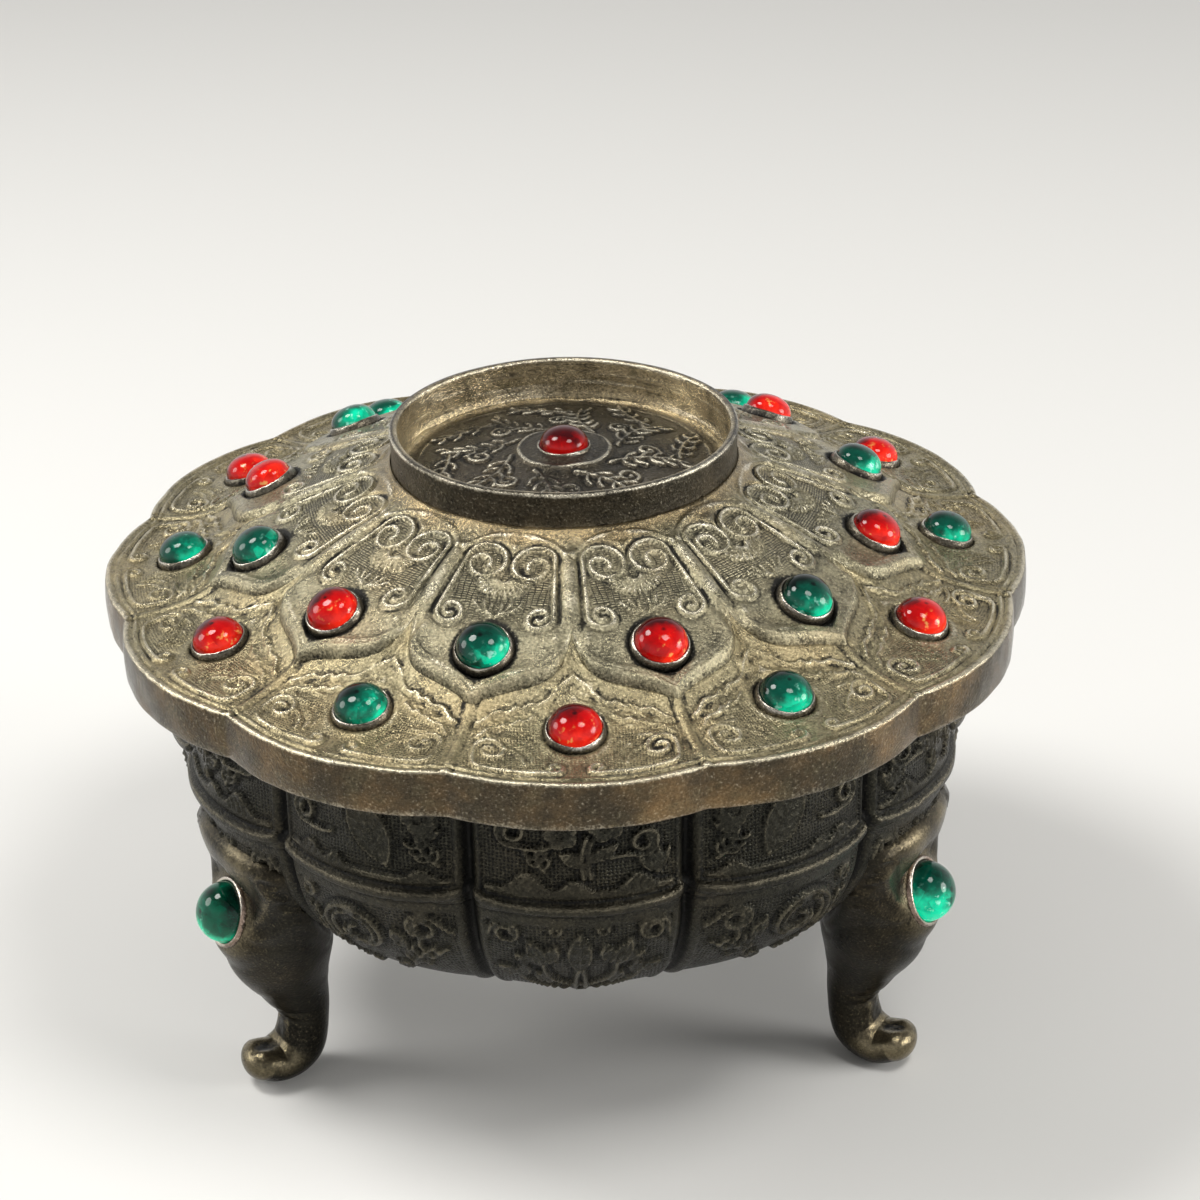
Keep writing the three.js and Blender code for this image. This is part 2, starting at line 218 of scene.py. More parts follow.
def lobeGrid(perLobe):
    # place across the lobe, from -1 to 1, of the columns of one lobe, and the angle of every column
    across = np.linspace(-1, 1, perLobe + 1)[:-1]
    angle = (np.arange(lobeCount)[:, None] * lobeAngle + across * halfLobe).reshape(-1)
    return across, angle


def allRound(patch, before=0, after=0):
    # the columns of one lobe repeated all round, with plain rows before and after them
    patch = np.pad(patch, [(before, after)] + [(0, 0)] * (patch.ndim - 1))
    return np.tile(patch, (1, lobeCount, *[1] * (patch.ndim - 2)))


def weftOf(x, y):
    # place on a petal or panel, which the ground patterns follow
    return np.stack([x, y, 0 * x], axis=-1)


# Finishes


def srgb(red, green, blue):
    # a colour as seen, 0 to 255, to linear light
    share = np.array([red, green, blue]) / 255
    light = np.where(share <= 0.04045, share / 12.92, ((share + 0.055) / 1.055) ** 2.4)
    return (*[float(c) for c in light], 1.0)


def plug(socket, value):
    # a socket gets a value, or a link where the value is another socket
    if isinstance(value, bpy.types.NodeSocket):
        socket.id_data.links.new(value, socket)
    else:
        socket.default_value = value


def feed(node, **values):
    # a node gets its inputs and its other properties by name
    for name, value in values.items():
        socket = node.inputs.get(name.replace("_", " "))
        if socket is None:
            setattr(node, name, value)
        else:
            plug(socket, value)
    return node


def addNode(tree, kind, **values):
    return feed(tree.nodes.new(kind), **values)


def mathNode(tree, operation, first, second, clamp=False):
    made = addNode(tree, "ShaderNodeMath", operation=operation, use_clamp=clamp)
    plug(made.inputs[0], first)
    plug(made.inputs[1], second)
    return made.outputs[0]


def mathTools(tree, *kinds):
    # kinds of mathNode in one tree, each as a function
    return [functools.partial(mathNode, tree, kind) for kind in kinds]


def weigh(tree, value, gain):
    # how far a noise is from its middle, times a gain
    return mathNode(tree, "MULTIPLY", mathNode(tree, "SUBTRACT", value, 0.5), gain)


def mixColour(tree, factor, first, second, blend="MIX"):
    made = addNode(tree, "ShaderNodeMix", data_type="RGBA", blend_type=blend, clamp_factor=True)
    for k, value in ((0, factor), (6, first), (7, second)):
        plug(made.inputs[k], value)
    return made.outputs[2]


def ramp(tree, value, low, high, start=0.0, end=1.0):
    # value from low to high as start to end, with soft ends
    made = addNode(tree, "ShaderNodeMapRange", interpolation_type="SMOOTHSTEP", Value=value,
                   From_Min=low, From_Max=high, To_Min=start, To_Max=end)
    return made.outputs["Result"]


def noiseNode(tree, spot, scale, detail, roughness=0.55):
    made = addNode(tree, "ShaderNodeTexNoise", Vector=spot, Scale=scale, Detail=detail, Roughness=roughness)
    return made.outputs["Fac"]


def agedBronzeGroup():
    # aged cast bronze: dark in the grooves with dirt and painted shade, rubbed bright on the ridges with
    # wear and painted highlight, blotched and grainy all over
    group = bpy.data.node_groups.new("agedBronze", "ShaderNodeTree")
    sockets = {
        ("INPUT", "NodeSocketColor"): ("Recess", "Body", "Warm", "Tint", "Second", "Worn"),
        ("INPUT", "NodeSocketFloat"): ("Relief", "Zone", "Matting", "Warmth", "Wear", "Polish"),
        ("OUTPUT", "NodeSocketColor"): ("Colour",),
        ("OUTPUT", "NodeSocketFloat"): ("Roughness", "Metal", "Height"),
    }
    for (side, kind), names in sockets.items():
        for name in names:
            group.interface.new_socket(name, in_out=side, socket_type=kind)
    given = addNode(group, "NodeGroupInput").outputs
    add, less, times, most = mathTools(group, "ADD", "SUBTRACT", "MULTIPLY", "MAXIMUM")
    spot = addNode(group, "ShaderNodeTexCoord").outputs["Object"]
    # noises by scale per metre, detail and roughness
    broad = noiseNode(group, spot, 60, 5, 0.6)
    patina = noiseNode(group, spot, 140, 7, 0.72)
    blotch = noiseNode(group, spot, 300, 6, 0.65)
    grain = noiseNode(group, spot, 2300, 3, 0.7)
    # what lies low is sunk, for dirt and painted shade, and what stands high is worn, for wear and painted
    # highlight, with uneven borders
    uneven = add(weigh(group, blotch, 0.9), weigh(group, grain, 1.3))
    level = add(given["Relief"], uneven)
    sunk = most(ramp(group, level, -0.15, -0.9), times(given["Matting"], 0.9))
    worn = times(ramp(group, level, 0.25, 1.0), given["Wear"], True)
    # painted sparkle: bright specks picked from the grain, lightened like the worn ridges
    paintedSparkle = times(ramp(group, grain, 0.58, 0.74), 0.5)
    worn = most(worn, times(paintedSparkle, given["Wear"]))
    # body colour with warm clouds, stained where its zone says so
    warmShare = times(ramp(group, broad, 0.42, 0.68), given["Warmth"], True)
    colour = mixColour(group, warmShare, given["Body"], given["Warm"])
    patch = times(given["Zone"], ramp(group, blotch, 0.25, 0.55, 0.7, 1.0), True)
    stain = add(times(patina, 0.5), times(broad, 0.7))
    zoned = mixColour(group, ramp(group, stain, 0.5, 0.8), given["Tint"], given["Second"])
    colour = mixColour(group, patch, colour, zoned)
    # lighter and darker by noise, with less grit in the zone
    grit = weigh(group, grain, less(3.0, times(given["Zone"], 0.9)))
    shade = add(add(weigh(group, blotch, 1.4), grit), weigh(group, broad, 0.9))
    shade = most(add(shade, 1.0), 0.2)
    grey = addNode(group, "ShaderNodeCombineColor", Red=shade, Green=shade, Blue=shade).outputs[0]
    colour = mixColour(group, 1.0, colour, grey, "MULTIPLY")
    # dirt and painted shade: the recess colour where the relief lies low and in the pits of the punched
    # ground
    colour = mixColour(group, sunk, colour, given["Recess"])
    # wear and painted highlight: the worn colour where the relief stands high, and the painted sparkle
    colour = mixColour(group, worn, colour, given["Worn"])
    rough = less(add(times(sunk, 0.25), 0.38), times(worn, 0.16))
    rough = less(add(rough, weigh(group, blotch, 0.4)), times(given["Zone"], 0.1))
    rough = less(rough, given["Polish"], True)
    metal = less(add(times(worn, 0.2), 0.78), times(sunk, 0.3), True)
    height = less(add(times(grain, 1.2), times(blotch, 0.5)), times(given["Matting"], 1.5))
    addNode(group, "NodeGroupOutput", Colour=colour, Roughness=rough, Metal=metal, Height=height)
    return group


agedBronze = agedBronzeGroup()


def layerNode(tree, layer, socket="Fac"):
    return addNode(tree, "ShaderNodeAttribute", attribute_name=layer).outputs[socket]


def stippleMatting(tree, pitch):
    # punched ground: round pits about a pitch apart, a little out of line
    weft = layerNode(tree, "weft", "Vector")
    pits = addNode(tree, "ShaderNodeTexVoronoi", Vector=weft, Scale=1 / pitch, Randomness=0.3)
    return ramp(tree, pits.outputs["Distance"], 0.46, 0.2)


def hatchMatting(tree, pitch):
    # hatched ground: rows of short ticks along the petal's own x and y, a little unsteady
    weft = layerNode(tree, "weft", "Vector")
    drift = addNode(tree, "ShaderNodeTexNoise", Vector=weft, Scale=0.3, Detail=2.0)
    moved = addNode(tree, "ShaderNodeVectorMath", operation="ADD")
    plug(moved.inputs[0], weft)
    plug(moved.inputs[1], drift.outputs["Color"])
    ticks = addNode(tree, "ShaderNodeTexBrick", Vector=moved.outputs[0], Scale=1.0, offset=0.0,
                    Mortar_Size=0.34 * pitch, Mortar_Smooth=0.8, Brick_Width=2.2 * pitch, Row_Height=pitch)
    return ticks.outputs["Fac"]


def newMaterial(name):
    # a new material with its tree and its shader
    made = bpy.data.materials.new(name)
    made.use_nodes = True
    return made, made.node_tree, made.node_tree.nodes["Principled BSDF"]


def bronzeFinish(name, matting=None, pitch=1.0, warmth=0.5, wear=0.5, polish=0.0, bump=0.4, gloss=0.3,
                 **colours):
    # a colour for each colour socket of agedBronze, where tint and second are for the zone; matting is a
    # ground pattern with a pitch in millimetres
    made, tree, shader = newMaterial(name)
    aged = addNode(tree, "ShaderNodeGroup", node_tree=agedBronze, Warmth=warmth, Wear=wear, Polish=polish,
                   Relief=layerNode(tree, "relief"), Zone=layerNode(tree, "zone"))
    if matting:
        feed(aged, Matting=mathNode(tree, "MULTIPLY", matting(tree, pitch), layerNode(tree, "ground")))
    for socket, colour in colours.items():
        plug(aged.inputs[socket.capitalize()], srgb(*colour))
    raised = addNode(tree, "ShaderNodeBump", Strength=bump, Distance=0.00035, Height=aged.outputs["Height"])
    feed(shader, Base_Color=aged.outputs["Colour"], Roughness=aged.outputs["Roughness"],
         Metallic=aged.outputs["Metal"], Normal=raised.outputs["Normal"], Specular_IOR_Level=gloss)
    return made


# recess colours are dirt and painted shade in the grooves; worn colours are wear and painted highlight on
# the ridges
lidBronze = bronzeFinish(
    "lidBronze", stippleMatting, pitch=0.46, polish=0.1, bump=0.42,
    recess=(26, 24, 18), body=(144, 135, 106), warm=(150, 132, 96),
    tint=(64, 57, 45), second=(110, 89, 61), worn=(244, 235, 210))
crownBronze = bronzeFinish(
    "crownBronze", hatchMatting, pitch=0.42, polish=0.1, bump=0.48,
    recess=(24, 23, 18), body=(142, 136, 112), warm=(148, 133, 102),
    tint=(120, 107, 80), second=(154, 137, 103), worn=(244, 237, 217))
bowlBronze = bronzeFinish(
    "bowlBronze", stippleMatting, pitch=0.6, warmth=0.4, polish=0.1, bump=0.6,
    recess=(7, 7, 5), body=(44, 43, 36), warm=(54, 48, 37),
    tint=(40, 36, 29), second=(60, 50, 36), worn=(126, 119, 101))
legBronze = bronzeFinish(
    "legBronze", warmth=0.6, polish=0.06, bump=0.2, gloss=0.2,
    recess=(10, 9, 7), body=(36, 34, 28), warm=(48, 42, 31),
    tint=(100, 92, 73), second=(126, 115, 91), worn=(150, 138, 108))
handleBronze = bronzeFinish(
    "handleBronze", wear=0.6, polish=0.08, bump=0.5,
    recess=(20, 18, 14), body=(58, 54, 45), warm=(74, 65, 51),
    tint=(166, 152, 122), second=(222, 207, 170), worn=(236, 228, 206))
bezelMetal = bronzeFinish(
    "bezelMetal", warmth=0.4, wear=0.7, polish=0.14, bump=0.25,
    recess=(22, 20, 17), body=(92, 87, 76), warm=(104, 93, 76),
    tint=(126, 108, 96), second=(150, 130, 116), worn=(212, 206, 194))


def gemFinish(name, deep, main, bright, glint, inner):
    # foil-backed glass with painted light: painted shade where the stone is turned from the light, painted
    # light where the foil would glow through it, painted glints, and an emission that makes the lit part
    # glow
    made, tree, shader = newMaterial(name)
    add, times = mathTools(tree, "ADD", "MULTIPLY")
    spot = addNode(tree, "ShaderNodeTexCoord").outputs["Object"]
    foil = addNode(tree, "ShaderNodeTexVoronoi", Vector=spot, Scale=480.0)
    facet = addNode(tree, "ShaderNodeSeparateColor", Color=foil.outputs["Color"])
    tone = add(layerNode(tree, "glow"), weigh(tree, facet.outputs[0], 0.16))
    tone = add(tone, weigh(tree, noiseNode(tree, spot, 330, 3), 0.9))
    # painted shade to painted light along the glow layer, broken by the foil's facets and clouds
    colour = mixColour(tree, ramp(tree, tone, 0.05, 0.6), srgb(*deep), srgb(*main))
    lit = ramp(tree, tone, 0.55, 1.05)
    colour = mixColour(tree, lit, colour, srgb(*bright))
    # painted glints of the foil
    paintedGlint = ramp(tree, noiseNode(tree, spot, 800, 3), 0.58, 0.7)
    paintedGlint = times(paintedGlint, ramp(tree, tone, 0.45, 0.8), True)
    colour = mixColour(tree, times(paintedGlint, 0.7), colour, srgb(*glint))
    # the painted light again as emission, so the stone glows though it is no lamp
    paintedFoilGlow = mixColour(tree, lit, srgb(0, 0, 0), colour)
    feed(shader, Base_Color=colour, Roughness=0.05, IOR=1.5, Transmission_Weight=0.25,
         Specular_IOR_Level=0.2, Emission_Color=paintedFoilGlow, Emission_Strength=inner)
    return made


# inner is the strength of the painted glow given as emission
redGlass = gemFinish(
    "redGlass", deep=(70, 0, 6), main=(214, 4, 8), bright=(255, 46, 24), glint=(255, 200, 110), inner=0.4)
greenGlass = gemFinish(
    "greenGlass", deep=(0, 18, 15), main=(0, 86, 68), bright=(0, 216, 166), glint=(176, 252, 232),
    inner=0.45)
print("finishes ready")


# Lid: the rim, its band and the ring of outer petals, with the spigot and hollow under it

lid = {
    "perLobe": 80,
    "rimRadius": lidHigh[0],
    "rimNotch": 2.4,
    "rimBand": 7.6,
    "rimRound": 0.55,
    "rimLip": 3.0,
    "wall": 3.0,
    "crownRise": 17.0,
    "tipInset": 13.8,
    "cleftInset": 22.2,
    "apexInset": 25.1,
    "outerRise": 6.9,
    "outerCurve": 2.05,
    "tipRise": 3.8,
    "crownBow": 0.9,
    "seatDepth": 2.5,
    "spigot": (56.8, 59.3),
    "seat": (66.8, 76.3),
    "petalRows": 64,
    "bandRows": 12,  # rows of lidProfile on the outside of the band
    "halfArc": 14.66,  # half the width of an outer petal where its cloud lines run
    "overlap": 2.2,  # how far the outer petals reach in under the inner ones
    "collar": 32.0,  # radius of a hidden row under the crown
    "tuck": 2.2,  # how deep the hidden rows lie under the crown
    "boreGap": 0.3,  # the handle's counterbore is this much wider than the handle
    "outerGemInset": 10.4,
    "innerGemInset": 8.4,
}
rimTop = lidHigh[2] - lid["crownRise"]
rimBottom = rimTop - lid["rimBand"]
notchRadius = lid["rimRadius"] - lid["rimNotch"]
tipRadius = notchRadius - lid["tipInset"]
cleftRadius = notchRadius - lid["cleftInset"]
apexRadius = notchRadius - lid["apexInset"]
crownRadius = ringHigh[0]  # the crown ends at the foot of the handle ring
outerGem = notchRadius - lid["outerGemInset"]
innerGem = tipRadius - lid["innerGemInset"]
cupOutside = 4.64  # radius of the cups on the lid


def rimEdge(across):
    # rim of the lid: a parabola over each lobe, pinched in at the notches
    return notchRadius + lid["rimNotch"] * (1 - across**2)


def petalEdge(across):
    # lower edge of the inner petals: round a shoulder by the apex, then slanting to a point over a notch
    share = np.clip(np.abs(across), 0, 1)
    return mix(apexRadius, tipRadius, 0.5 * (1 - (1 - share) ** 8) + 0.36 * share + 0.14 * share**6)


def outerHeight(radius):
    # outer petals: flat at the rim and rising as a power of the distance in from the notches
    share = np.clip((notchRadius - radius) / (notchRadius - cleftRadius), 0, None)
    return rimTop + lid["outerRise"] * share ** lid["outerCurve"]


def innerHeight(radius):
    # inner petals: a straight cone from tip to crown with a slight bow
    gap = lid["boreGap"]
    share = (radius - crownRadius - gap) / (tipRadius - crownRadius - gap)
    rise = mix(lid["crownRise"], lid["tipRise"], share)
    return rimTop + rise + 4 * lid["crownBow"] * share * (1 - share)


def welt(gap):
    # casting round a bezel: a low welt outside the cup and a sunk seat under it
    sunk = smooth(cupOutside + 0.1, cupOutside - 0.4, gap)
    return 0.12 * swell(gap - cupOutside - 0.7, 0.7) - sunk


def bezelDirtAndShade(gap):
    # dirt and painted shade at the foot of a bezel
    return -1.1 * swell(np.clip(gap - cupOutside, 0, None), 0.7)


def outerPetalRelief(across, radius):
    # one outer petal, mirrored about its axis: x along the arc, y out from the lid's axis
    x = radius * np.abs(across) * halfLobe
    y = radius + 0 * x
    edgeGap = rimEdge(across) - radius
    sideGap = radius * (1 - np.abs(across)) * halfLobe
    upGap = np.clip(radius - petalEdge(across), 0, None)
    run = np.linspace(1.9, 14.4, 80)
    wave = np.abs(np.sin(run * math.pi / 2.9 + 0.7 * np.sin(0.8 * run)))
    cloudLine = np.stack([run, petalEdge(run / lid["halfArc"]) + 2.3 + 0.6 * wave], axis=1)
    cloudLine = np.vstack([[[0.0, cloudLine[0, 1] - 1.6]], cloudLine])
    low = run[run > 5.4]
    lowWave = np.abs(np.sin(low * math.pi / 2.6 + 0.9 * np.sin(0.7 * low)))
    lowerLine = np.stack([low, petalEdge(low / lid["halfArc"]) + 4.6 + 0.6 * lowWave], axis=1)
    scroll = curl((12.3, 66.3), 2.5, 0.55, 0.0, -1.35, 1.2)[::-1]
    corner = np.array([[15.0, 68.2], [14.9, 69.6], [14.0, 70.4], [12.0, 70.8], [8.0, 71.4], [4.6, 71.5]])
    scroll = np.vstack([scroll, corner, curl((3.1, 70.2), 1.3, 0.45, 0.25, 0.95, 1.2, 36)])
    strokes = [
        (cloudLine, 0.28, 0.5),
        (lowerLine, 0.26, 0.44),
        (scroll, 0.32, 0.5),
        (bow((7.4, 69.4), (9.8, 65.8), -0.7), 0.28, 0.34),
        (bow((6.2, 68.6), (8.0, 65.0), -0.6), 0.26, 0.3),
        (bow((5.4, 67.6), (6.6, 64.2), -0.5), 0.24, 0.26),
        (bow((3.6, 56.6), (5.2, 58.4), 0.4), 0.24, 0.28),
        (bow((2.4, 57.6), (3.8, 59.6), 0.4), 0.24, 0.28),
        (bow((9.6, 58.8), (11.6, 61.0), 0.4), 0.24, 0.28),
        (curl((2.0, 54.8), 1.1, 0.4, 0.4, -1.1, 1.2, 36), 0.3, 0.3),
        (bow((9.2, 63.6), (13.6, 62.2), 0.6), 0.3, 0.32),
        (bow((7.6, 61.4), (12.4, 60.6), 0.5), 0.28, 0.26),
    ]
    height = carve(x, y, strokes)
    line = smooth(0.06, 0.18, height)
    gemGap = np.hypot(x, y - outerGem)
    field = smooth(2.2, 2.8, edgeGap) * smooth(1.3, 1.9, sideGap) * smooth(0.9, 1.9, upGap)
    field = field * smooth(0.3, 1.8, gemGap - cupOutside)
    height = height * smooth(0.0, 0.9, gemGap - cupOutside) - 0.12 * field
    height = height + 0.2 * swell(sideGap, 0.5) - 0.36 * swell(sideGap - 1.0, 0.34)
    height = height - 0.36 * swell(edgeGap - 1.4, 0.28) + 0.2 * swell(edgeGap - 1.95, 0.26)
    height = height - 0.2 * swell(edgeGap - 2.45, 0.26)
    height = height + 0.7 * np.exp(-upGap / 1.6)
    punched = mix(0.15, 1.0, smooth(3.5, 6.0, x) * smooth(60.0, 63.5, y))  # mostly in the outer corners
    # dirt and painted shade at the foot of the bezel, and painted shade under the edge of the inner petals
    # and along the creases at the petal's sides
    dirtAndShade = bezelDirtAndShade(gemGap) - 0.5 * smooth(1.6, 3.0, x) * np.exp(-upGap / 0.5) - 0.5 * swell(sideGap, 0.7)
    return height + welt(gemGap), punched * field * (1 - line), dirtAndShade, weftOf(x, y)


def lidProfile(edge):
    # radius, height, rubbing and stain of each row, from the middle of the hollow to the rim's top edge;
    # the rubbing is darker under the lid and bright on the band's rounded edges, there partly painted
    # highlight
    soft = lid["rimRound"]
    foot = lidLow[2]
    under = rimTop - lid["wall"]
    spigotIn, spigotOut = lid["spigot"]
    seatRadius, seatHeight = lid["seat"]
    hollowTop = lidHigh[2] - lid["seatDepth"] - lid["wall"]
    hollowEdge = outerHeight(spigotIn) - lid["wall"]
    inner = edge - lid["rimLip"]
    rows = []
    for share in np.linspace(0.2, 1, 5):
        height = mix(hollowTop, hollowEdge, share) + 6.4 * share * (1 - share)
        rows.append((spigotIn * share, height, -0.2, 0))
    rows += [
        (spigotIn, foot + 0.4, 0, 0),
        (spigotIn + 0.4, foot, 0.5, 0),
        (spigotOut - 0.4, foot, 0.5, 0),
        (spigotOut, foot + 0.4, 0.2, 0),
        (spigotOut, seatHeight, -0.4, 0),
        (seatRadius, seatHeight, 0.1, 0),
        (seatRadius, under, -0.5, 0),
        (inner, under, -0.4, 0.6),
        (inner, rimBottom + 0.3, 0, 1),
        (inner + 0.4, rimBottom, 0.3, 1),
    ]
    turn = np.linspace(0, math.pi / 2, 4)
    # the rounded lower edge of the band: rubbed bright, partly painted highlight
    for t in turn:
        rows.append((edge - soft * (1 - math.sin(t)), rimBottom + soft * (1 - math.cos(t)), 0.42, 1))
    for share in (0.25, 0.4, 0.55, 0.7, 0.85):
        belly = math.sin(share * math.pi)
        height = mix(rimBottom + soft, rimTop - soft, share)
        rows.append((edge + 0.18 * belly, height, 0.04 - 0.1 * belly, 1))
    # the rounded top edge: rubbed bright, partly painted highlight
    for t in turn[:-1]:
        height = rimTop - soft * (1 - math.sin(t))
        rows.append((edge - soft * (1 - math.cos(t)), height, 0.2 + 0.7 * t, 1 - 0.5 * t))
    return [np.array([np.broadcast_to(row[k], edge.shape) for row in rows]) for k in range(4)]


def makeLid():
    across, angle = lobeGrid(lid["perLobe"])
    edge = rimEdge(across)
    lowReach, lowRise, lowWorn, lowZone = lidProfile(edge)
    below = len(lowReach)
    share = np.linspace(0, 1, lid["petalRows"])[:, None]
    radius = mix(edge - lid["rimRound"], petalEdge(across) - lid["overlap"], share)
    relief, ground, dirtAndShade, weft = outerPetalRelief(across, radius)
    tucked = 1.3 * smooth(0.0, 1.5, petalEdge(across) - radius)  # under the inner petals
    # the last rows run on under the crown to the handle's counterbore and down to its floor
    seatFloor = lidHigh[2] - lid["seatDepth"]
    bore = crownRadius + lid["boreGap"]
    collarRise = innerHeight(lid["collar"]) - lid["tuck"]
    boreRise = innerHeight(crownRadius) - lid["tuck"]
    lastReach = np.array([[lid["collar"]], [bore], [bore]]) + 0 * across
    lastRise = np.array([[collarRise], [boreRise], [seatFloor]]) + 0 * across
    last = len(lastReach)
    # wear and painted highlight along the rim's top edge
    rimEdgeWearAndHighlight = swell(edge - lid["rimRound"] - radius, 0.35)
    reach = allRound(np.vstack([lowReach, radius, lastReach]))
    rise = allRound(np.vstack([lowRise, outerHeight(radius) - tucked, lastRise]))
    carved = allRound(relief, below, last)
    # rubbing: the band's rows, then wear and painted highlight at the rim's edge, with dirt and painted
    # shade on the petals
    rubbed = allRound(np.vstack([lowWorn, 0.65 * rimEdgeWearAndHighlight + dirtAndShade]), 0, last)
    points = polar(reach, angle, rise)
    hand = 0.84 + 0.2 * ripple(points, 26, 3)  # some of the relief is worn lower than the rest
    shown = np.zeros_like(reach)
    shown[below - lid["bandRows"]:-last] = 1
    rise = rise + carved * hand + 0.1 * shown * ripple(points, 9, 4)
    reach = reach + shown * (0.16 * ripple(points, 12, 5) + 0.05 * ripple(points, 4, 6))
    worn = np.clip(standing(carved * hand, 4) / 0.36, -1, 1) * (0.85 + 0.5 * ripple(points, 6, 7))
    worn[:below] = 0
    layers = {
        "relief": worn + rubbed,
        "ground": allRound(ground, below, last),
        "zone": allRound(np.vstack([lowZone, 0.35 * rimEdgeWearAndHighlight]), 0, last),
        "weft": allRound(weft, below, last),
    }
    poles = np.array([[0, 0, seatFloor - lid["wall"]], [0, 0, seatFloor]])
    piece = skin("lid_outer_petals", polar(reach, angle, rise), poles, layers)
    place(piece, "lid", "lid_bronze", lidBronze, "lid")


makeLid()

# Crown: the ring of inner petals, laid over the outer ones up to the foot of the handle ring

crown = {
    "perLobe": 80,
    "rollWidth": 1.5,
    "rollRows": 10,
    "petalRows": 82,
    "rib": 1.65,
    "lip": 2.7,
    "fieldDepth": 0.32,
    "cove": 1.0,
    "topScroll": (3.7, 34.2),
    "lowScroll": (6.9, 44.3),
    "arch": 3.75,
    "palmette": 37.2,
    "sprig": (0.2, 44.4, 44.6),  # sideways, root and the middle of its tips
    "lowerPart": (43.0, 48.0),
    "ribFoot": (29.5, 33.5),
    "lipCorner": (2.1, 48.4),
    "handleGap": 0.04,
    "tuck": 2.6,
    "footInset": 1.6,
}


def innerPetalRelief(across, radius):
    # one inner petal, mirrored about its axis over a notch: x along the arc, y out from the lid's axis
    side = radius * np.abs(across) * halfLobe  # from the middle of the rib beside it
    x = radius * (1 - np.abs(across)) * halfLobe
    y = radius + 0 * x
    edgeGap = petalEdge(across) - radius
    topScroll = crown["topScroll"]
    horn = curl(topScroll, 3.25, 0.5, 0, -1.5, 2.6)
    horn[:, 1] += 1.3 * np.linspace(0, 1, len(horn)) ** 2
    thread = np.vstack([horn[::-1], curl(crown["lowScroll"], 2.2, 0.5, 0, 1.35, 1.3)])
    run = np.linspace(0, 1, 24)
    brow = np.stack([7.9 * run, 29.2 + 3.6 * run**2.4], axis=1)
    strokes = [(thread, 0.34, 0.5), (brow, 0.42, 0.28)]
    # palmette: a wide fan of fine strokes under the scrolls, and a sprig that points up from the gem
    fan = crown["palmette"]
    for lean in np.linspace(0.0, 1.3, 7):
        start = (1.1 * math.sin(lean), fan + 1.1 * math.cos(lean))
        end = (4.1 * math.sin(lean), fan + 3.5 * math.cos(lean))
        strokes.append((bow(start, end, 0.15, 6), 0.22, 0.52))
    beside, root, tips = crown["sprig"]
    for reach, lean in ((2.6, 0.2), (3.4, 0.6), (4.2, 0.95)):
        end = (beside + reach * math.sin(lean), tips - reach * math.cos(lean))
        strokes.append((bow((beside, root), end, 0.35), 0.24, 0.34))
    height = carve(x, y, strokes)
    line = smooth(0.08, 0.22, np.abs(height))
    # how far in from the frame line: arches round the scrolls over a rounded corner of rib and lower lip
    inset = -np.logaddexp(-1.4 * (side - crown["rib"]), -1.4 * (edgeGap - crown["lip"])) / 1.4
    arched = crown["arch"] - np.hypot(x - topScroll[0], y - topScroll[1])
    inside = np.where(y < topScroll[1], arched, inset)
    field = smooth(0.0, 0.5, inside) * smooth(48.5, 43.5, y)
    gemGap = np.hypot(x, y - innerGem)
    lower = smooth(*crown["lowerPart"], y)
    height = height - crown["fieldDepth"] * field - (0.6 - 0.52 * lower) * swell(inside, 0.32)
    # rib between two petals, sinking at its foot into the apex of the outer petal behind
    height = height + 0.5 * swell(side, 0.9) * smooth(*crown["ribFoot"], y)
    # lower lip: a broad swell that the field runs into, swollen at its corners, with a painted highlight
    # along it and at its corners, and a fall to the edge
    cornerSide, cornerOut = crown["lipCorner"]
    corner = swell(np.hypot(side - cornerSide, 0.7 * (y - cornerOut)), 1.3)
    height = height + lower * 0.5 * swell(edgeGap - 1.6, 1.4) + 0.3 * corner
    # relief that wears bright, with a painted highlight along the lip and at its corners
    wearAndHighlights = height + 0.34 * lower * swell(edgeGap - 1.6, 0.9) + 0.15 * corner
    height = height - 0.8 * np.clip(1 - edgeGap / 2.0, 0, None) ** 2
    apex = outerHeight(radius) - innerHeight(radius) + 0.1
    height = mix(height, np.minimum(height, apex), smooth(2.3, 0.6, side) * lower)
    height = height + crown["cove"] * np.exp(-(radius - crownRadius) / 0.9)
    ground = field * (1 - line) * smooth(0.3, 1.6, gemGap - cupOutside) * smooth(46.5, 42.5, y)
    gilt = smooth(33.5, 29.5, y + 0.25 * x) * (1 - field)
    # the last value is dirt and painted shade at the foot of the bezel
    return height + welt(gemGap), wearAndHighlights, ground, gilt, weftOf(x, y), bezelDirtAndShade(gemGap)


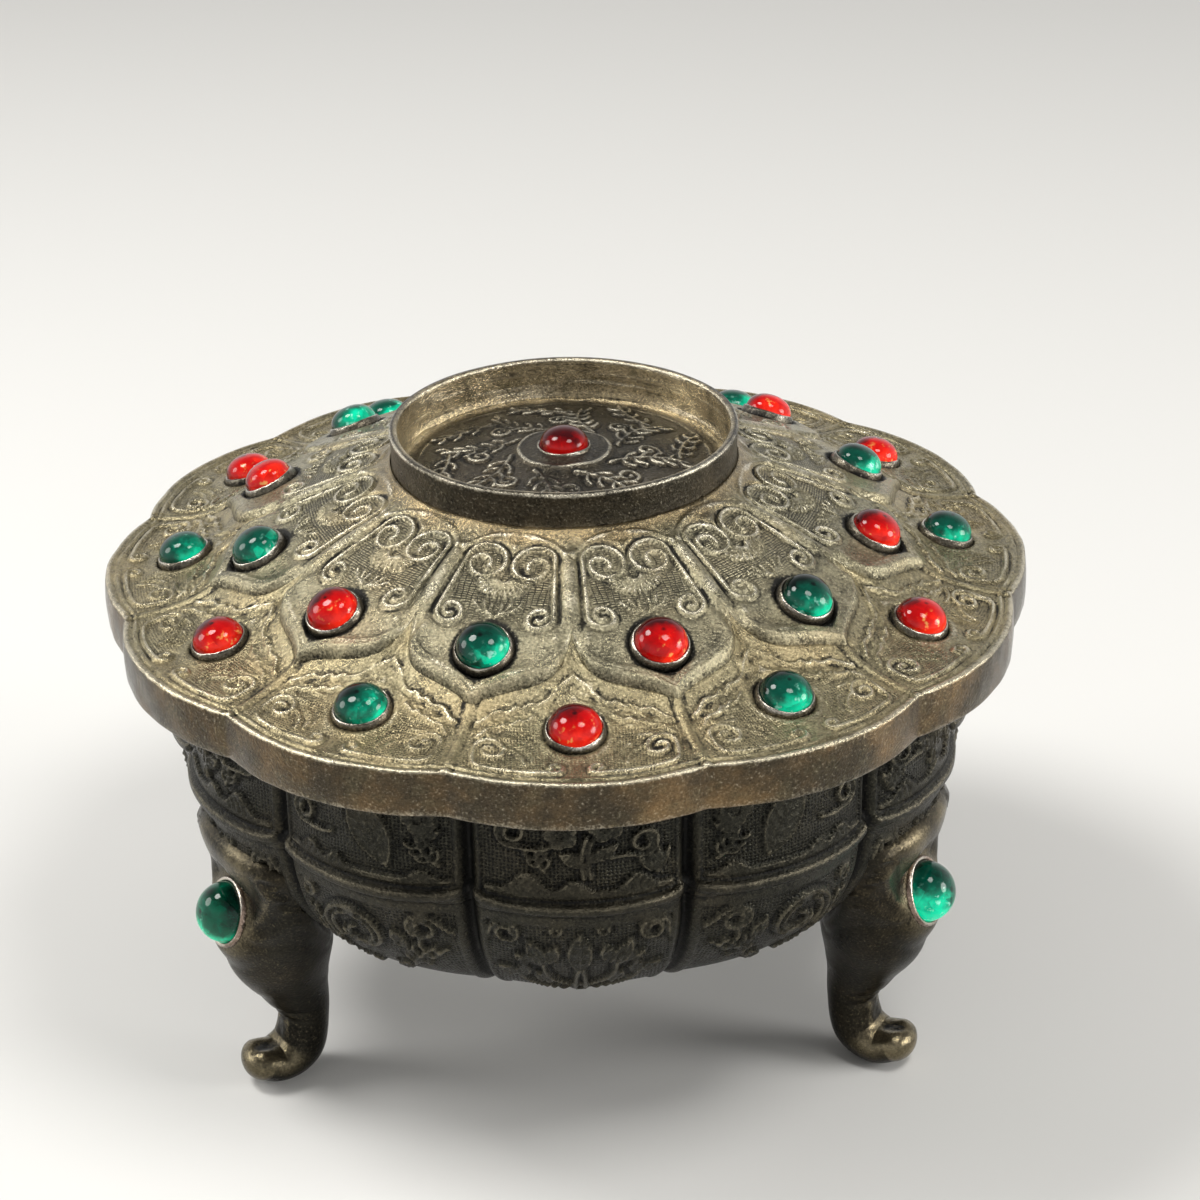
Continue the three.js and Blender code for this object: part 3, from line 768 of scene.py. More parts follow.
def makeCrown():
    across, angle = lobeGrid(crown["perLobe"])
    edge = petalEdge(across)
    roll = crown["rollWidth"]
    rolled = crown["rollRows"] - 1
    shoulder = edge - roll
    foot = outerHeight(edge) - 0.3
    bore = crownRadius + crown["handleGap"]
    turn = np.linspace(-0.25, math.pi / 2, crown["rollRows"])[:-1, None]
    share = np.linspace(0, 1, crown["petalRows"])[:, None]
    radius = mix(shoulder, bore + 0 * across, share)
    relief, wearAndHighlights, ground, gilt, weft, dirtAndShade = innerPetalRelief(across, radius)
    top = innerHeight(shoulder) + relief[0]
    # the last rows are its underside, hidden in the lid
    collarRise = innerHeight(lid["collar"]) - crown["tuck"]
    hiddenReach = np.vstack([bore + 0 * across, lid["collar"] + 0 * across, edge - crown["footInset"]])
    hiddenRise = np.vstack([lidHigh[2] - lid["tuck"] + 0 * across, collarRise + 0 * across, foot - 1.0])
    hidden = len(hiddenReach)
    reach = allRound(np.vstack([shoulder + roll * np.cos(turn), radius, hiddenReach]))
    smoothRise = allRound(np.vstack([mix(foot, top, np.sin(turn)), innerHeight(radius), hiddenRise]))
    points = polar(reach, angle, smoothRise)
    hand = 0.88 + 0.16 * ripple(points, 24, 13)
    shown = np.ones_like(reach)
    shown[-hidden:] = 0
    rise = smoothRise + allRound(relief, rolled, hidden) * hand + shown * 0.1 * ripple(points, 9, 14)
    worn = np.zeros_like(reach)
    # wear on the relief, with the painted highlight of the lip
    worn[rolled:-hidden] = np.clip(standing(allRound(wearAndHighlights), 4) / 0.38, -1, 1)
    worn = worn * (0.85 + 0.5 * ripple(points, 6, 15))
    # painted shade on the roll under the lip: darkest at its foot, in the crease over the outer petals,
    # lighter towards its top, and left plain by the ribs
    offRib = smooth(1.4, 2.6, edge * np.abs(across) * halfLobe)
    worn[:rolled] = allRound(np.linspace(-1.0, 0.3, rolled)[:, None] * offRib)
    # dirt and painted shade at the foot of the bezels
    worn[rolled:-hidden] += allRound(dirtAndShade)
    layers = {
        "relief": worn,
        "ground": allRound(ground, rolled, hidden),
        "zone": allRound(gilt, rolled, hidden),
        "weft": allRound(weft, rolled, hidden),
    }
    piece = skin("lid_inner_petals", polar(reach, angle, rise), None, layers)
    place(piece, "lid", "lid_bronze", crownBronze)


makeCrown()
print("lid and crown done")

# Bowl: an upper tier of framed panels over a rounded lower tier, with its inside

bowl = {
    "perLobe": 100,
    "radius": 63.2,
    "flatRadius": 30.0,
    "bulge": 2.6,
    "bore": 59.8,
    "wall": 3.4,
    "tierHeight": 53.0,
    "lowerRows": 70,
    "upperRows": 70,
    "grooveDepth": 1.6,
    "grooveWidth": 0.95,
    "carving": 1.6,  # how much taller the panels are carved than their strokes say
    "seam": 0.1,  # the upper tier starts this far over the lower one
    "step": 0.5,  # the lower tier ends this far inside the upper one
    "mouthRound": 0.6,
}
bowlFoot = bowlLow[2]
bowlMouth = bowlHigh[2]
lowerRise = bowl["tierHeight"] - bowlFoot


def leaf(root, length, heading, bend, width=0.34, height=0.42):
    # one leaf as an arc from its root
    return (bow(root, away(root, length, heading), bend, 8), width, height)


def blade(root, length, heading, half, ribs=0):
    # a broad leaf, raised inside its outline of two arcs, with a midrib and pairs of ribs
    tip = away(root, length, heading)
    stem = bow(root, tip, 0.0, ribs + 2)
    outline = np.vstack([bow(root, tip, half, 12), bow(tip, root, half, 12)])
    strokes = [(outline, 0.26, 0.42, 0.2), (stem, 0.26, 0.4)]
    for k in range(ribs):
        for side in (-1, 1):
            reach = 0.9 * half * math.sin(math.pi * (k + 1.2) / (ribs + 1.6))
            strokes.append(leaf(stem[k + 1], reach, heading + side * 0.9, 0.0, 0.28, 0.44))
    return strokes


def bough(start, end, lift, leaves, length):
    # a bowed stem with leaves by turns on its two sides
    stem = bow(start, end, lift, 20)
    strokes = [(stem, 0.36, 0.44)]
    heading = math.atan2(end[1] - start[1], end[0] - start[0])
    for k in range(leaves):
        side = 1 if k % 2 else -1
        strokes.append(leaf(stem[3 + int(k * 16 / leaves)], length, heading + side * 0.85, side * 0.45))
    return strokes


def ridge(left, right, base, humps):
    # a line of hills, raised down to the bar under them, each hump a place, height and width
    run = np.linspace(left, right, 40)
    rise = base + sum(height * swell(run - at, width) for at, height, width in humps)
    below = bowl["tierHeight"] + 1.0
    outline = np.vstack([np.stack([run, rise], axis=1), [[right, below], [left, below]]])
    return (outline, 0.26, 0.42, 0.34)


def bloom(centre, size):
    # a five-lobed flower, raised, with a cut curl in its heart
    turn = np.linspace(0, 2 * math.pi, 40)
    reach = size * (0.75 + 0.3 * np.abs(np.sin(2.5 * turn)))
    ring = np.stack([centre[0] + reach * np.cos(turn), centre[1] + reach * np.sin(turn)], axis=1)
    return [(ring, 0.28, 0.42, 0.34), (curl(centre, 0.5 * size, 0.2, 0, 1.3, 1, 20), 0.22, -0.28)]


def cloud(centre, size, start, turns):
    # a cloud scroll of two lines with a short tail
    line = curl(centre, size, 0.3 * size, start, turns, 1.2, 40)
    tail = line[0] + (line[0] - line[2]) * 4
    inner = curl(centre, 0.7 * size, 0.5 * size, start + 0.1, 0.45 * turns, 1, 20)
    return [(np.vstack([bow(tail, line[0], 0.3, 8), line]), 0.36, 0.46), (inner, 0.28, 0.3)]


def gardenPanel():
    # hills along the bar, a tree of round clumps, cloud scrolls and reeds
    strokes = [ridge(-14, 4.5, 57.2, ((-7.5, 3.2, 2.3), (-0.8, 2.0, 1.7)))]
    strokes.append(ridge(3, 14, 57.2, ((8.6, 2.4, 2.1),)))
    for at in (-9.2, -8.0, -6.8, -5.6, 7.6, 8.8, 10.0):
        strokes.append((bow((at, 57.2), (at + 0.9, 59.4), 0.2, 6), 0.2, -0.24))
    strokes.append((bow((0.8, 59.6), (1.2, 66.6), 0.5), 0.4, 0.5))
    strokes.append((bow((1.8, 59.6), (2.0, 66.0), 0.5), 0.34, 0.44))
    strokes += bloom((-2.4, 67.2), 2.3) + bloom((4.0, 68.4), 2.4) + bloom((0.6, 71.8), 2.1)
    strokes += blade((1.4, 62.6), 4.6, 0.5, 0.9, 2) + blade((1.0, 61.8), 4.2, 2.6, 0.9, 2)
    strokes += cloud((-9.6, 67.2), 2.6, 0.8, -1.4) + cloud((9.6, 65.0), 2.4, 0.7, 1.4)
    strokes += cloud((-11.2, 72.0), 1.8, 0.2, 1.2) + cloud((9.4, 71.8), 1.9, 0.4, -1.2)
    for k in range(4):
        strokes += blade((11.6, 59.2), 4.2, 2.3 - 0.4 * k, 0.5)
    return strokes + bough((-4.8, 60.8), (-6.0, 64.6), 0.4, 5, 1.9)


def palmPanel():
    # a large ribbed leaf between cloud scrolls, a flower and hills
    strokes = blade((4.6, 58.8), 13.0, 2.0, 2.9, 6)
    strokes += cloud((-10.0, 64.4), 2.5, 0.8, -1.4) + cloud((-9.2, 70.6), 2.1, 0.1, 1.3)
    strokes += bloom((9.8, 67.6), 2.5) + bough((12.4, 59.6), (9.2, 64.4), 0.6, 7, 2.1)
    strokes += blade((9.4, 64.2), 3.6, 0.4, 0.8, 1) + blade((5.6, 71.4), 3.4, 2.4, 0.7, 1)
    strokes.append(ridge(-14, 14, 57.0, ((-9, 2.2, 1.7), (-4.2, 1.6, 1.4), (9.8, 1.7, 1.8))))
    for at in (-10.4, -9.2, -8.0, -4.8, -3.8, 9.4, 10.4):
        strokes.append((bow((at, 57.2), (at + 0.8, 58.6), 0.2, 6), 0.2, -0.22))
    return strokes


def plantPanel():
    # lower tier: a tree that spreads its leaves from the foot, under a scroll in each corner
    strokes = [(bow((-0.5, 22), (-0.3, 35), 0.3, 20), 0.4, 0.5)]
    strokes.append((bow((0.6, 22), (0.4, 35), -0.3, 20), 0.4, 0.5))
    strokes += blade((0, 35.0), 9.0, math.pi / 2, 1.7, 3)
    for side in (-1, 1):
        strokes.append((bow((0, 28), (side * 5.4, 37.2), side * -1.6, 20), 0.4, 0.5))
        for lean in (-0.85, 0.0, 0.85):
            strokes += blade((side * 5.4, 37.2), 5.4 - abs(lean), math.pi / 2 - side * 0.4 + lean, 1.2)
        strokes.append((bow((0, 25), (side * 8.8, 32.4), side * -1.6, 20), 0.38, 0.48))
        strokes += blade((side * 4.4, 29.6), 4.6, math.pi / 2 - side * 0.4, 1.0)
        strokes += blade((side * 8.6, 32.2), 4.6, math.pi / 2 - side * 0.9, 1.1)
        strokes += blade((side * 8.6, 32.2), 4.4, math.pi / 2 + side * 0.1, 1.0)
        strokes += cloud((side * 11.0, 43.6), 2.4, 0.25 - 0.25 * side, side * 1.5)
        strokes.append((curl((side * 3.6, 45.0), 1.1, 0.4, 0.25, side * 1.2, 1.2, 36), 0.3, 0.44))
    return strokes


def scrollPanel():
    # lower tier: a double C-scroll with leaves and small scrolls round it
    strokes = [(curl((-2.6, 38.6), 6.2, 2.4, 0.62, -1.1, 1.1), 0.46, 0.54)]
    strokes.append((curl((-2.6, 38.6), 4.8, 0.8, 0.62, -1.3, 1.1), 0.4, 0.5))
    strokes += cloud((8.8, 42.4), 2.7, 0.1, 1.5) + cloud((-11.2, 43.8), 1.6, 0.3, -1.3)
    strokes += bough((4.8, 31.0), (10.0, 38.0), 0.8, 9, 2.6)
    strokes += bough((-10.2, 31.0), (-10.8, 40.0), -0.7, 8, 2.2)
    strokes += cloud((-4.4, 27.4), 1.9, 0.6, 1.3) + blade((1.6, 27.0), 4.6, 1.2, 1.1, 2)
    return strokes + blade((5.4, 37.0), 4.6, 1.9, 1.0, 2) + blade((-7.6, 29.6), 4.0, 2.2, 0.9, 1)


def panelGroove(sideGap):
    return -bowl["grooveDepth"] * np.exp(-((sideGap / bowl["grooveWidth"]) ** 2.6))


def panelLayers(relief, drawn, field, edge, x, y):
    # what a tier takes from a panel: relief, drawing, punched ground, painted highlight and shade at its
    # edges and own places
    return relief, drawn, field * (1 - smooth(0.1, 0.24, drawn)), edge, weftOf(x, y)


def upperRelief(across, height, strokes):
    # upper tier panel: a shallow field between grooves, over a thin bar that rises at its ends
    x = bowl["radius"] * across * halfLobe + 0 * height
    y = height + 0 * across
    sideGap = bowl["radius"] * (1 - np.abs(across)) * halfLobe + 0 * height
    above = height - bowl["tierHeight"] - 1.4 - 1.4 * np.abs(across) ** 6
    inside = np.minimum(sideGap - 1.9, above - 1.15)
    field = smooth(0.0, 0.5, inside)
    drawn = bowl["carving"] * carve(x, y, strokes) * smooth(0.2, 0.7, inside)
    bar = 1.2 * np.exp(-((above / 0.95) ** 4)) + 0.15 * swell(above - 0.6, 0.25)
    relief = panelGroove(sideGap) - 0.45 * field + drawn + bar
    # painted highlight along the top of the bar, painted shade in the grooves between panels and round the
    # field's sunk border
    edge = 0.95 * swell(above - 0.65, 0.4) * smooth(0.6, 1.6, sideGap) - 1.2 * smooth(1.3, 0.5, sideGap)
    edge = edge - 0.6 * swell(inside - 0.1, 0.4)
    return panelLayers(relief, drawn, field, edge, x, y)


def lowerRelief(across, radius, length, strokes):
    # lower tier panel: length runs up the curve from the foot of the bowl
    x = radius * across * halfLobe
    y = length + 0 * across
    sideGap = radius * (1 - np.abs(across)) * halfLobe
    topGap = length[-1, 0] - y
    inside = np.minimum(sideGap - 2.0, length[-1, 0] - 1.9 - y)
    offFoot = smooth(6, 9, y)
    field = smooth(0.0, 0.5, inside) * offFoot
    drawn = bowl["carving"] * carve(x, y, strokes) * smooth(0.2, 0.7, inside) * offFoot
    relief = smooth(2, 12, y) * panelGroove(sideGap) - 0.3 * field + drawn
    # painted highlight along the frame round the field, painted shade in the grooves between panels and
    # under the upper tier
    edge = 0.3 * swell(inside + 0.3, 0.3) - 1.2 * smooth(1.3, 0.5, sideGap)
    edge = edge - 0.5 * smooth(1.6, 0.2, topGap)
    return panelLayers(relief, drawn, field, edge, x, y)


def ringOf(relief, designs, across, *places):
    # two panel designs set round the bowl by turns, each as drawn and mirrored
    panels = [relief(side * across, *places, design) for design in designs for side in (1, -1)]
    order = [panels[2 * (k % 2) + (k // 2) % 2] for k in range(lobeCount)]
    return [np.hstack(layer) for layer in zip(*order)]


def bowlTier(name, angle, tier, reach, rise, lean, inside, poles):
    # one tier of the bowl: the carved outside stands square to a surface that leans, the inside is plain
    relief, drawn, ground, edge, weft = tier
    points = polar(reach, angle, rise)
    hand = 0.9 + 0.14 * ripple(points, 24, 23)
    lift = relief * hand + 0.1 * ripple(points, 10, 24)
    reach = reach + lift * np.sqrt(1 - lean**2)
    rise = np.minimum(rise - lift * lean, bowlMouth)
    # wear on the drawing, with the painted highlight and shade at the edges
    worn = np.clip(standing(drawn * hand, 3) / 0.5, -1, 0.8) + edge
    inside = np.array(inside)
    plain = np.zeros((len(inside), len(angle)))
    reach = np.vstack([reach, plain + inside[:, :1]])
    rise = np.vstack([rise, plain + inside[:, 1:]])
    worn = np.vstack([worn, plain - 0.3])
    weft = np.concatenate([weft, np.zeros((*plain.shape, 3))])
    layers = {"relief": worn, "ground": np.vstack([ground, plain]), "zone": 0 * worn, "weft": weft}
    return skin(name, polar(reach, angle, rise), poles, layers)


def makeBowl():
    across, angle = lobeGrid(bowl["perLobe"])
    bulge = bowl["bulge"] * (1 - across**2)
    bore = bowl["bore"]
    soft = bowl["mouthRound"]
    # upper tier: upright panels, with the mouth and the upper wall inside
    upperFoot = bowl["tierHeight"] + bowl["seam"]
    height = np.linspace(upperFoot, bowlMouth, bowl["upperRows"])[:, None]
    tier = ringOf(upperRelief, (palmPanel(), gardenPanel()), across, height)
    inside = [[bore + soft, bowlMouth], [bore, bowlMouth - soft], [bore, upperFoot]]
    reach = allRound(bowl["radius"] + bulge + 0 * height)
    piece = bowlTier("bowl_panels", angle, tier, reach, height + 0 * reach, 0 * height, inside, None)
    place(piece, "bowl", "dark_bronze", bowlBronze, "bowl")
    # lower tier: a quarter ellipse in section, with the floor inside
    turn = np.linspace(0, math.pi / 2, bowl["lowerRows"] + 1)[1:, None]
    radius = mix(bowl["flatRadius"], bowl["radius"] - bowl["step"], np.sin(turn))
    height = bowl["tierHeight"] - lowerRise * np.cos(turn)
    out = np.diff(radius, axis=0, prepend=bowl["flatRadius"])
    up = np.diff(height, axis=0, prepend=bowlFoot)
    length = np.cumsum(np.hypot(out, up), axis=0)
    tier = ringOf(lowerRelief, (scrollPanel(), plantPanel()), across, radius, length)
    inside = []
    for t in np.linspace(math.pi / 2, 0, 9):
        inner = mix(bowl["flatRadius"] - bowl["wall"], bore, math.sin(t))
        inside.append([inner, mix(bowl["tierHeight"], bowlFoot + bowl["wall"], math.cos(t))])
    poles = np.array([[0, 0, bowlFoot], [0, 0, bowlFoot + bowl["wall"]]])
    reach = allRound(radius + bulge * np.sin(turn) ** 2)
    piece = bowlTier("bowl_belly", angle, tier, reach, height + 0 * reach, np.cos(turn), inside, poles)
    place(piece, "bowl", "dark_bronze", bowlBronze)


makeBowl()
print("bowl done")

# Handle ring and the domed medallion inside it

handle = {"columns": 360, "wall": 1.3, "round": 0.45, "foot": ringLow[2], "top": ringHigh[2]}
medallion = {
    "columns": 420,
    "rows": 84,
    "radius": discHigh[0],
    "edge": 97.1,
    "rise": 2.6,
    "bottom": discLow[2],
    "foot": 3.0,  # the edge of its flat underside lies this far in
}


def makeHandle():
    # a thin turned band with a rounded lip, a little out of true; each row of its profile is radius,
    # height, rubbing and gilding
    angle = circle(handle["columns"])
    outer = ringHigh[0]
    inner = outer - handle["wall"]
    soft = handle["round"]
    foot = handle["foot"]
    top = handle["top"]
    turn = np.linspace(0, math.pi / 2, 4)
    profile = [[inner, foot, -0.3, 1], [outer, foot, -0.3, 0.9]]
    for share in np.linspace(0.1, 0.94, 12):
        radius = outer - 0.2 * math.sin(share * math.pi)
        gilding = 0.2 * smooth(0.46, 0.28, share)
        profile.append([radius, mix(foot, top - soft, share), -0.05, gilding])
    for t, rubbed in zip(turn, (0.5, 0.8, 0.6, 0.1)):
        profile.append([outer - soft * (1 - math.cos(t)), top - soft * (1 - math.sin(t)), rubbed, 0])
    for t, rubbed in zip(turn, (0.1, 0.6, 0.8, 0.5)):
        profile.append([inner + soft * (1 - math.sin(t)), top - soft * (1 - math.cos(t)), rubbed, 0.5])
    for share in np.linspace(0.94, 0.1, 14):
        profile.append([inner - 0.5 * smooth(0.4, 0.1, share), mix(foot, top - soft, share), 0.15, 1])
    reach, rise, rubbed, gilding = np.array(profile).T[..., None]
    rows = polar(reach, angle, rise)
    lift = smooth(foot + 3, top, rise)
    reach = reach + 0.12 * ripple(rows, 24, 33) + 0.05 * ripple(rows * (0.25, 0.25, 2.5), 4, 35)
    rise = rise - 0.16 * lift * (0.6 + 0.4 * ripple(rows, 14, 34))
    streak = (0.4 + 0.6 * (gilding > 0.9)) * ripple(rows * (0.2, 0.2, 4.0), 4, 36)
    layers = {"relief": rubbed + streak, "zone": gilding + 0 * streak}
    piece = skin("handle_band", polar(np.minimum(reach, outer), angle, rise), None, layers)
    place(piece, "lid", "handle_bronze", handleBronze, "handle_ring")


def medallionStrokes():
    # rings of leaf sprays: stems that bend outwards with leaves on both sides, and spirals between them
    strokes = []
    middle = (0, 0)
    for k in range(8):
        turn = k * math.pi / 4 + 0.2
        strokes += bough(away(middle, 8.8, turn), away(middle, 20.0, turn + 0.42), 1.5, 9, 2.8)
        spiral = curl(away(middle, 13.6, turn + 0.62), 1.9, 0.5, turn / (2 * math.pi), 1.3, 1.2, 30)
        strokes.append((spiral, 0.34, 0.4))
        strokes += bough(away(middle, 18.6, turn + 0.5), away(middle, 23.4, turn + 0.95), 0.9, 6, 2.2)
    return strokes


def makeMedallion():
    angle = circle(medallion["columns"])
    edge = medallion["radius"]
    bottom = medallion["bottom"]
    radius = np.linspace(edge, 1.2, medallion["rows"])[:, None]
    flat = polar(radius, angle, 0)
    carved = 1.15 * carve(flat[..., 0], flat[..., 1], medallionStrokes())
    carved = carved + 0.5 * swell(radius - 7.4, 0.5) + 0.3 * swell(radius - 23.6, 0.4)
    carved = carved * (0.75 + 0.35 * ripple(flat, 12, 43)) + 0.16 * ripple(flat, 6, 44)
    carved = carved + 1.0 * swell(radius - 4.6, 3.4)  # a low mound under the cup
    carved = carved + 0.9 * np.exp(-(edge - radius) / 0.8)
    dome = medallion["edge"] + medallion["rise"] * (1 - (radius / edge) ** 2) - 0.2
    outer = 0 * angle + edge
    reach = np.vstack([outer - medallion["foot"], outer, radius + 0 * angle])
    rise = np.vstack([0 * angle + bottom, 0 * angle + bottom, dome + carved])
    rest = np.zeros((2, len(angle)))
    worn = np.vstack([rest, np.clip(standing(carved, 3) / 0.26, -1, 1)])
    gilt = np.vstack([rest, 0.9 * smooth(1.8, 0.3, edge - radius) + 0 * angle])
    poles = np.array([[0, 0, bottom], [0, 0, rise[-1].mean()]])
    layers = {"relief": worn, "zone": gilt}
    piece = skin("handle_medallion_disc", polar(reach, angle, rise), poles, layers)
    place(piece, "lid", "handle_bronze", handleBronze, "handle_medallion")


makeHandle()
makeMedallion()
print("handle done")


def seatFrame(radius, angle, height, tilt):
    # the frame of a gem: out from the axis at an angle, its own axis tilted outwards from straight up
    out = Matrix.Rotation(angle, 4, "Z") @ Matrix.Translation((radius, 0, height))
    return np.array(out @ Matrix.Rotation(tilt, 4, "Y"))


def seated(points, seat):
    return points @ seat[:3, :3].T + seat[:3, 3]


def unseated(points, seat):
    return (points - seat[:3, 3]) @ seat[:3, :3]


# Legs: a smooth trunk swept from a curled toe up to the bowl; each station of foot and knee is reach,
# height, half depth and half width

leg = {
    "sides": 128,
    "steps": 150,
    "foot": [[-2.2, 4.4, 3.3, 4.3], [-5.6, 3.5, 3.6, 4.8], [-9.2, 5.7, 4.3, 4.6], [-10.3, 12, 4.3, 4.4]],
    "knee": [[-9, 18, 6.2, 6], [-7.2, 25, 8.8, 8.8], [-6, 33, 8, 11.5], [-5.2, 41, 6.4, 13.5],
             [-4.6, 50.6, 6.8, 14.5]],
    "toeReach": 0.95,
    "toeTop": 12.0,
    "dish": (60.2, 3.0, 2.6, 1.3),  # reach, half length, half width and depth
    "gem": (64.6, 34.5),
    "gemTilt": 20.0,
    "pocket": 5.5,
    "skin": 1.3,  # how deep it ends in the wall of the bowl
}
legPlaces = {
    "leg_rear": math.pi / 2,
    "leg_front_left": math.pi * 7 / 6,
    "leg_front_right": math.pi * 11 / 6,
}
legSeat = seatFrame(leg["gem"][0], 0, leg["gem"][1], math.pi / 2 - math.radians(leg["gemTilt"]))


def through(stations, share):
    # smooth curve through stations: Catmull-Rom, with its ends carried on straight
    stations = np.array(stations, float)
    ends = np.vstack([2 * stations[0] - stations[1], stations, 2 * stations[-1] - stations[-2]])
    run = np.clip(share, 0, 1) * (len(stations) - 1)
    k = np.minimum(run.astype(int), len(stations) - 2)
    t = (run - k)[:, None]
    a, b, c, d = ends[k], ends[k + 1], ends[k + 2], ends[k + 3]
    bend = (2 * a - 5 * b + 4 * c - d) * t**2
    return 0.5 * (2 * b + (c - a) * t + bend + (3 * b - a - 3 * c + d) * t**3)


def bowlOutline(height):
    # radius of the bowl's lower tier at a height
    fall = np.clip((bowl["tierHeight"] - height) / lowerRise, 0, 1)
    return mix(bowl["flatRadius"], bowl["radius"], np.sqrt(1 - fall**2))


def legRelief(sideways, upward, height, outside):
    # a fold beside the cup and hair by the bowl, in the plane of the gem's seat, and creases at the ankle
    strokes = [(bow((5.8, 0.6), (10.6, 8.8), -1.0), 1.1, 0.6)]
    strokes.append((bow((7.6, -0.8), (12.4, 6.4), -0.9), 0.8, 0.3))
    for k in range(8):
        root = (8.4 + 0.6 * k, 12.4 - 1.9 * k)
        strokes.append((bow(root, (root[0] + 2.6, root[1] + 2.0), 0.4, 6), 0.3, 0.26))
    folds = carve(np.abs(sideways), upward, strokes)
    ankle = 0.35 * swell(height - 13.4, 0.5) + 0.28 * swell(height - 11.6, 0.45)
    return folds * smooth(22, 27, height) - ankle * outside


def legTrunk():
    # points of one leg in its own plane (reach, sideways, height), its poles, its rubbing with painted
    # shade and highlight at the toe's dish, and its brass, partly painted highlight
    share = np.linspace(0, 1, leg["steps"])
    line = through(leg["foot"] + leg["knee"], share)
    spine = np.stack([bowl["radius"] + line[:, 0], line[:, 1]], axis=1)
    along = np.gradient(spine, axis=0)
    along = along / np.hypot(along[:, 0], along[:, 1])[:, None]
    outward = np.stack([along[:, 1], -along[:, 0]], axis=1)
    turn = circle(leg["sides"])
    # the toe ends round
    capTurn = np.linspace(0.1, math.pi / 2, 12)[:-1]
    capSize = np.sin(capTurn)
    capBack = leg["toeReach"] * line[0, 2] * np.cos(capTurn)
    tip = spine[0] - leg["toeReach"] * line[0, 2] * along[0]
    centre = np.vstack([spine[:1] - capBack[:, None] * along[:1], spine])
    outward = np.vstack([np.repeat(outward[:1], len(capTurn), axis=0), outward])
    topRound = np.sqrt(np.clip(1 - np.clip((share - 0.95) / 0.05, 0, 0.99) ** 2, 0, 1))
    depth = np.concatenate([capSize * line[0, 2], line[:, 2] * topRound])[:, None]
    width = np.concatenate([capSize * line[0, 3], line[:, 3] * topRound])[:, None]
    outside = np.cos(turn)
    x = centre[:, :1] + outward[:, :1] * depth * outside
    z = centre[:, 1:] + outward[:, 1:] * depth * outside
    y = width * np.sin(turn) + 0 * x
    rough = np.stack([x, y, z], axis=-1)
    local = unseated(rough, legSeat)
    ring = np.hypot(local[..., 0], local[..., 1])
    facing = smooth(-10, -5, local[..., 2])
    drawn = legRelief(local[..., 1], -local[..., 0], z, smooth(-0.2, 0.5, outside))
    drawn = drawn * smooth(leg["pocket"] + 0.2, leg["pocket"] + 1.6, ring)
    # a shallow dish in the top of the toe
    dishAt, dishLong, dishWide, dishDeep = leg["dish"]
    dish = np.exp(-(((x - dishAt) / dishLong) ** 2) - (y / dishWide) ** 2)
    dish = dish * smooth(0.1, 0.7, outside) * (z < leg["toeTop"])
    lump = drawn + 0.18 * ripple(rough, 13, 53) + 1.3 * smooth(38, 46, z) * smooth(0.0, 0.6, outside)
    lump = lump - dishDeep * dish + 0.2 * dish * ripple(rough, 2.5, 54)
    x = x + outward[:, :1] * lump * outside
    z = np.maximum(z + outward[:, 1:] * lump * outside, 0)
    y = y + lump * np.sin(turn)
    # round the cup the knee meets its lip, and sinks to a pocket under the stone
    local = unseated(np.stack([x, y, z], axis=-1), legSeat)
    collar = 0.3 - 0.3 * np.clip(ring - leg["pocket"], 0, None)
    local[..., 2] = mix(local[..., 2], collar, smooth(9.5, 6.0, ring) * facing)
    sunk = smooth(leg["pocket"], leg["pocket"] - 0.5, ring) * facing
    local[..., 2] = mix(local[..., 2], np.minimum(local[..., 2], -0.9), sunk)
    points = seated(local, legSeat)
    # what would reach into the bowl is pushed out to just under its skin
    reach = np.hypot(points[..., 0], points[..., 1])
    push = np.maximum(bowlOutline(points[..., 2]) - leg["skin"] - reach, 0)
    push = np.where(points[..., 2] > bowlFoot, push, 0)
    points[..., :2] *= (1 + push / reach)[..., None]
    poles = np.array([[tip[0], 0, tip[1]], points[-1].mean(axis=0)])
    rowShare = np.concatenate([0 * capTurn - 0.05, share])[:, None]
    # painted shade in the toe's dish and a painted highlight round its rim
    worn = np.clip(standing(drawn, 4) / 0.5, -1, 0.5) - 0.8 * smooth(0.35, 0.9, dish)
    worn = worn + 0.5 * swell(dish - 0.2, 0.12) * (z < leg["toeTop"])
    brass = smooth(0.26, 0.14, rowShare) * smooth(-0.5, 0.6, outside + 2 * smooth(0.02, -0.02, rowShare))
    # a rubbed patch on the knee and brass round the cup: rubbed brass, partly painted highlight
    rubbed = swell(local[..., 0] + 10.5, 3.5) * swell(np.abs(local[..., 1]) - 5.0, 4.0) * facing
    brass = brass + (0.5 * smooth(8.5, 6.2, ring) + 0.8 * rubbed) * facing
    return points, poles, worn + 0.4 * rubbed, brass


def makeLegs():
    points, poles, worn, brass = legTrunk()
    for name, angle in legPlaces.items():
        turned = np.array(Matrix.Rotation(angle, 3, "Z")).T
        layers = {"relief": np.clip(worn, -1, 1), "zone": np.clip(brass, 0, 1)}
        piece = skin(name + "_trunk", points @ turned, poles @ turned, layers)
        place(piece, "bowl", "leg_bronze", legBronze, name)


makeLegs()
print("legs done")

# Gems in their cups

stone = {"columns": 48, "girdle": 0.9}
lidStone = {"radius": 3.96, "dome": 2.85, "base": 0.1}
legStone = {"radius": 5.0, "dome": 4.9, "base": -0.6}
cup = {"columns": 64, "wobbleRadius": 6.0}
lidCup = {"bore": 3.93, "outside": cupOutside, "low": -0.8, "lip": 1.05, "floor": -0.2}
legCup = {"bore": 4.98, "outside": 5.95, "low": -1.6, "lip": 0.85, "floor": -1.0}


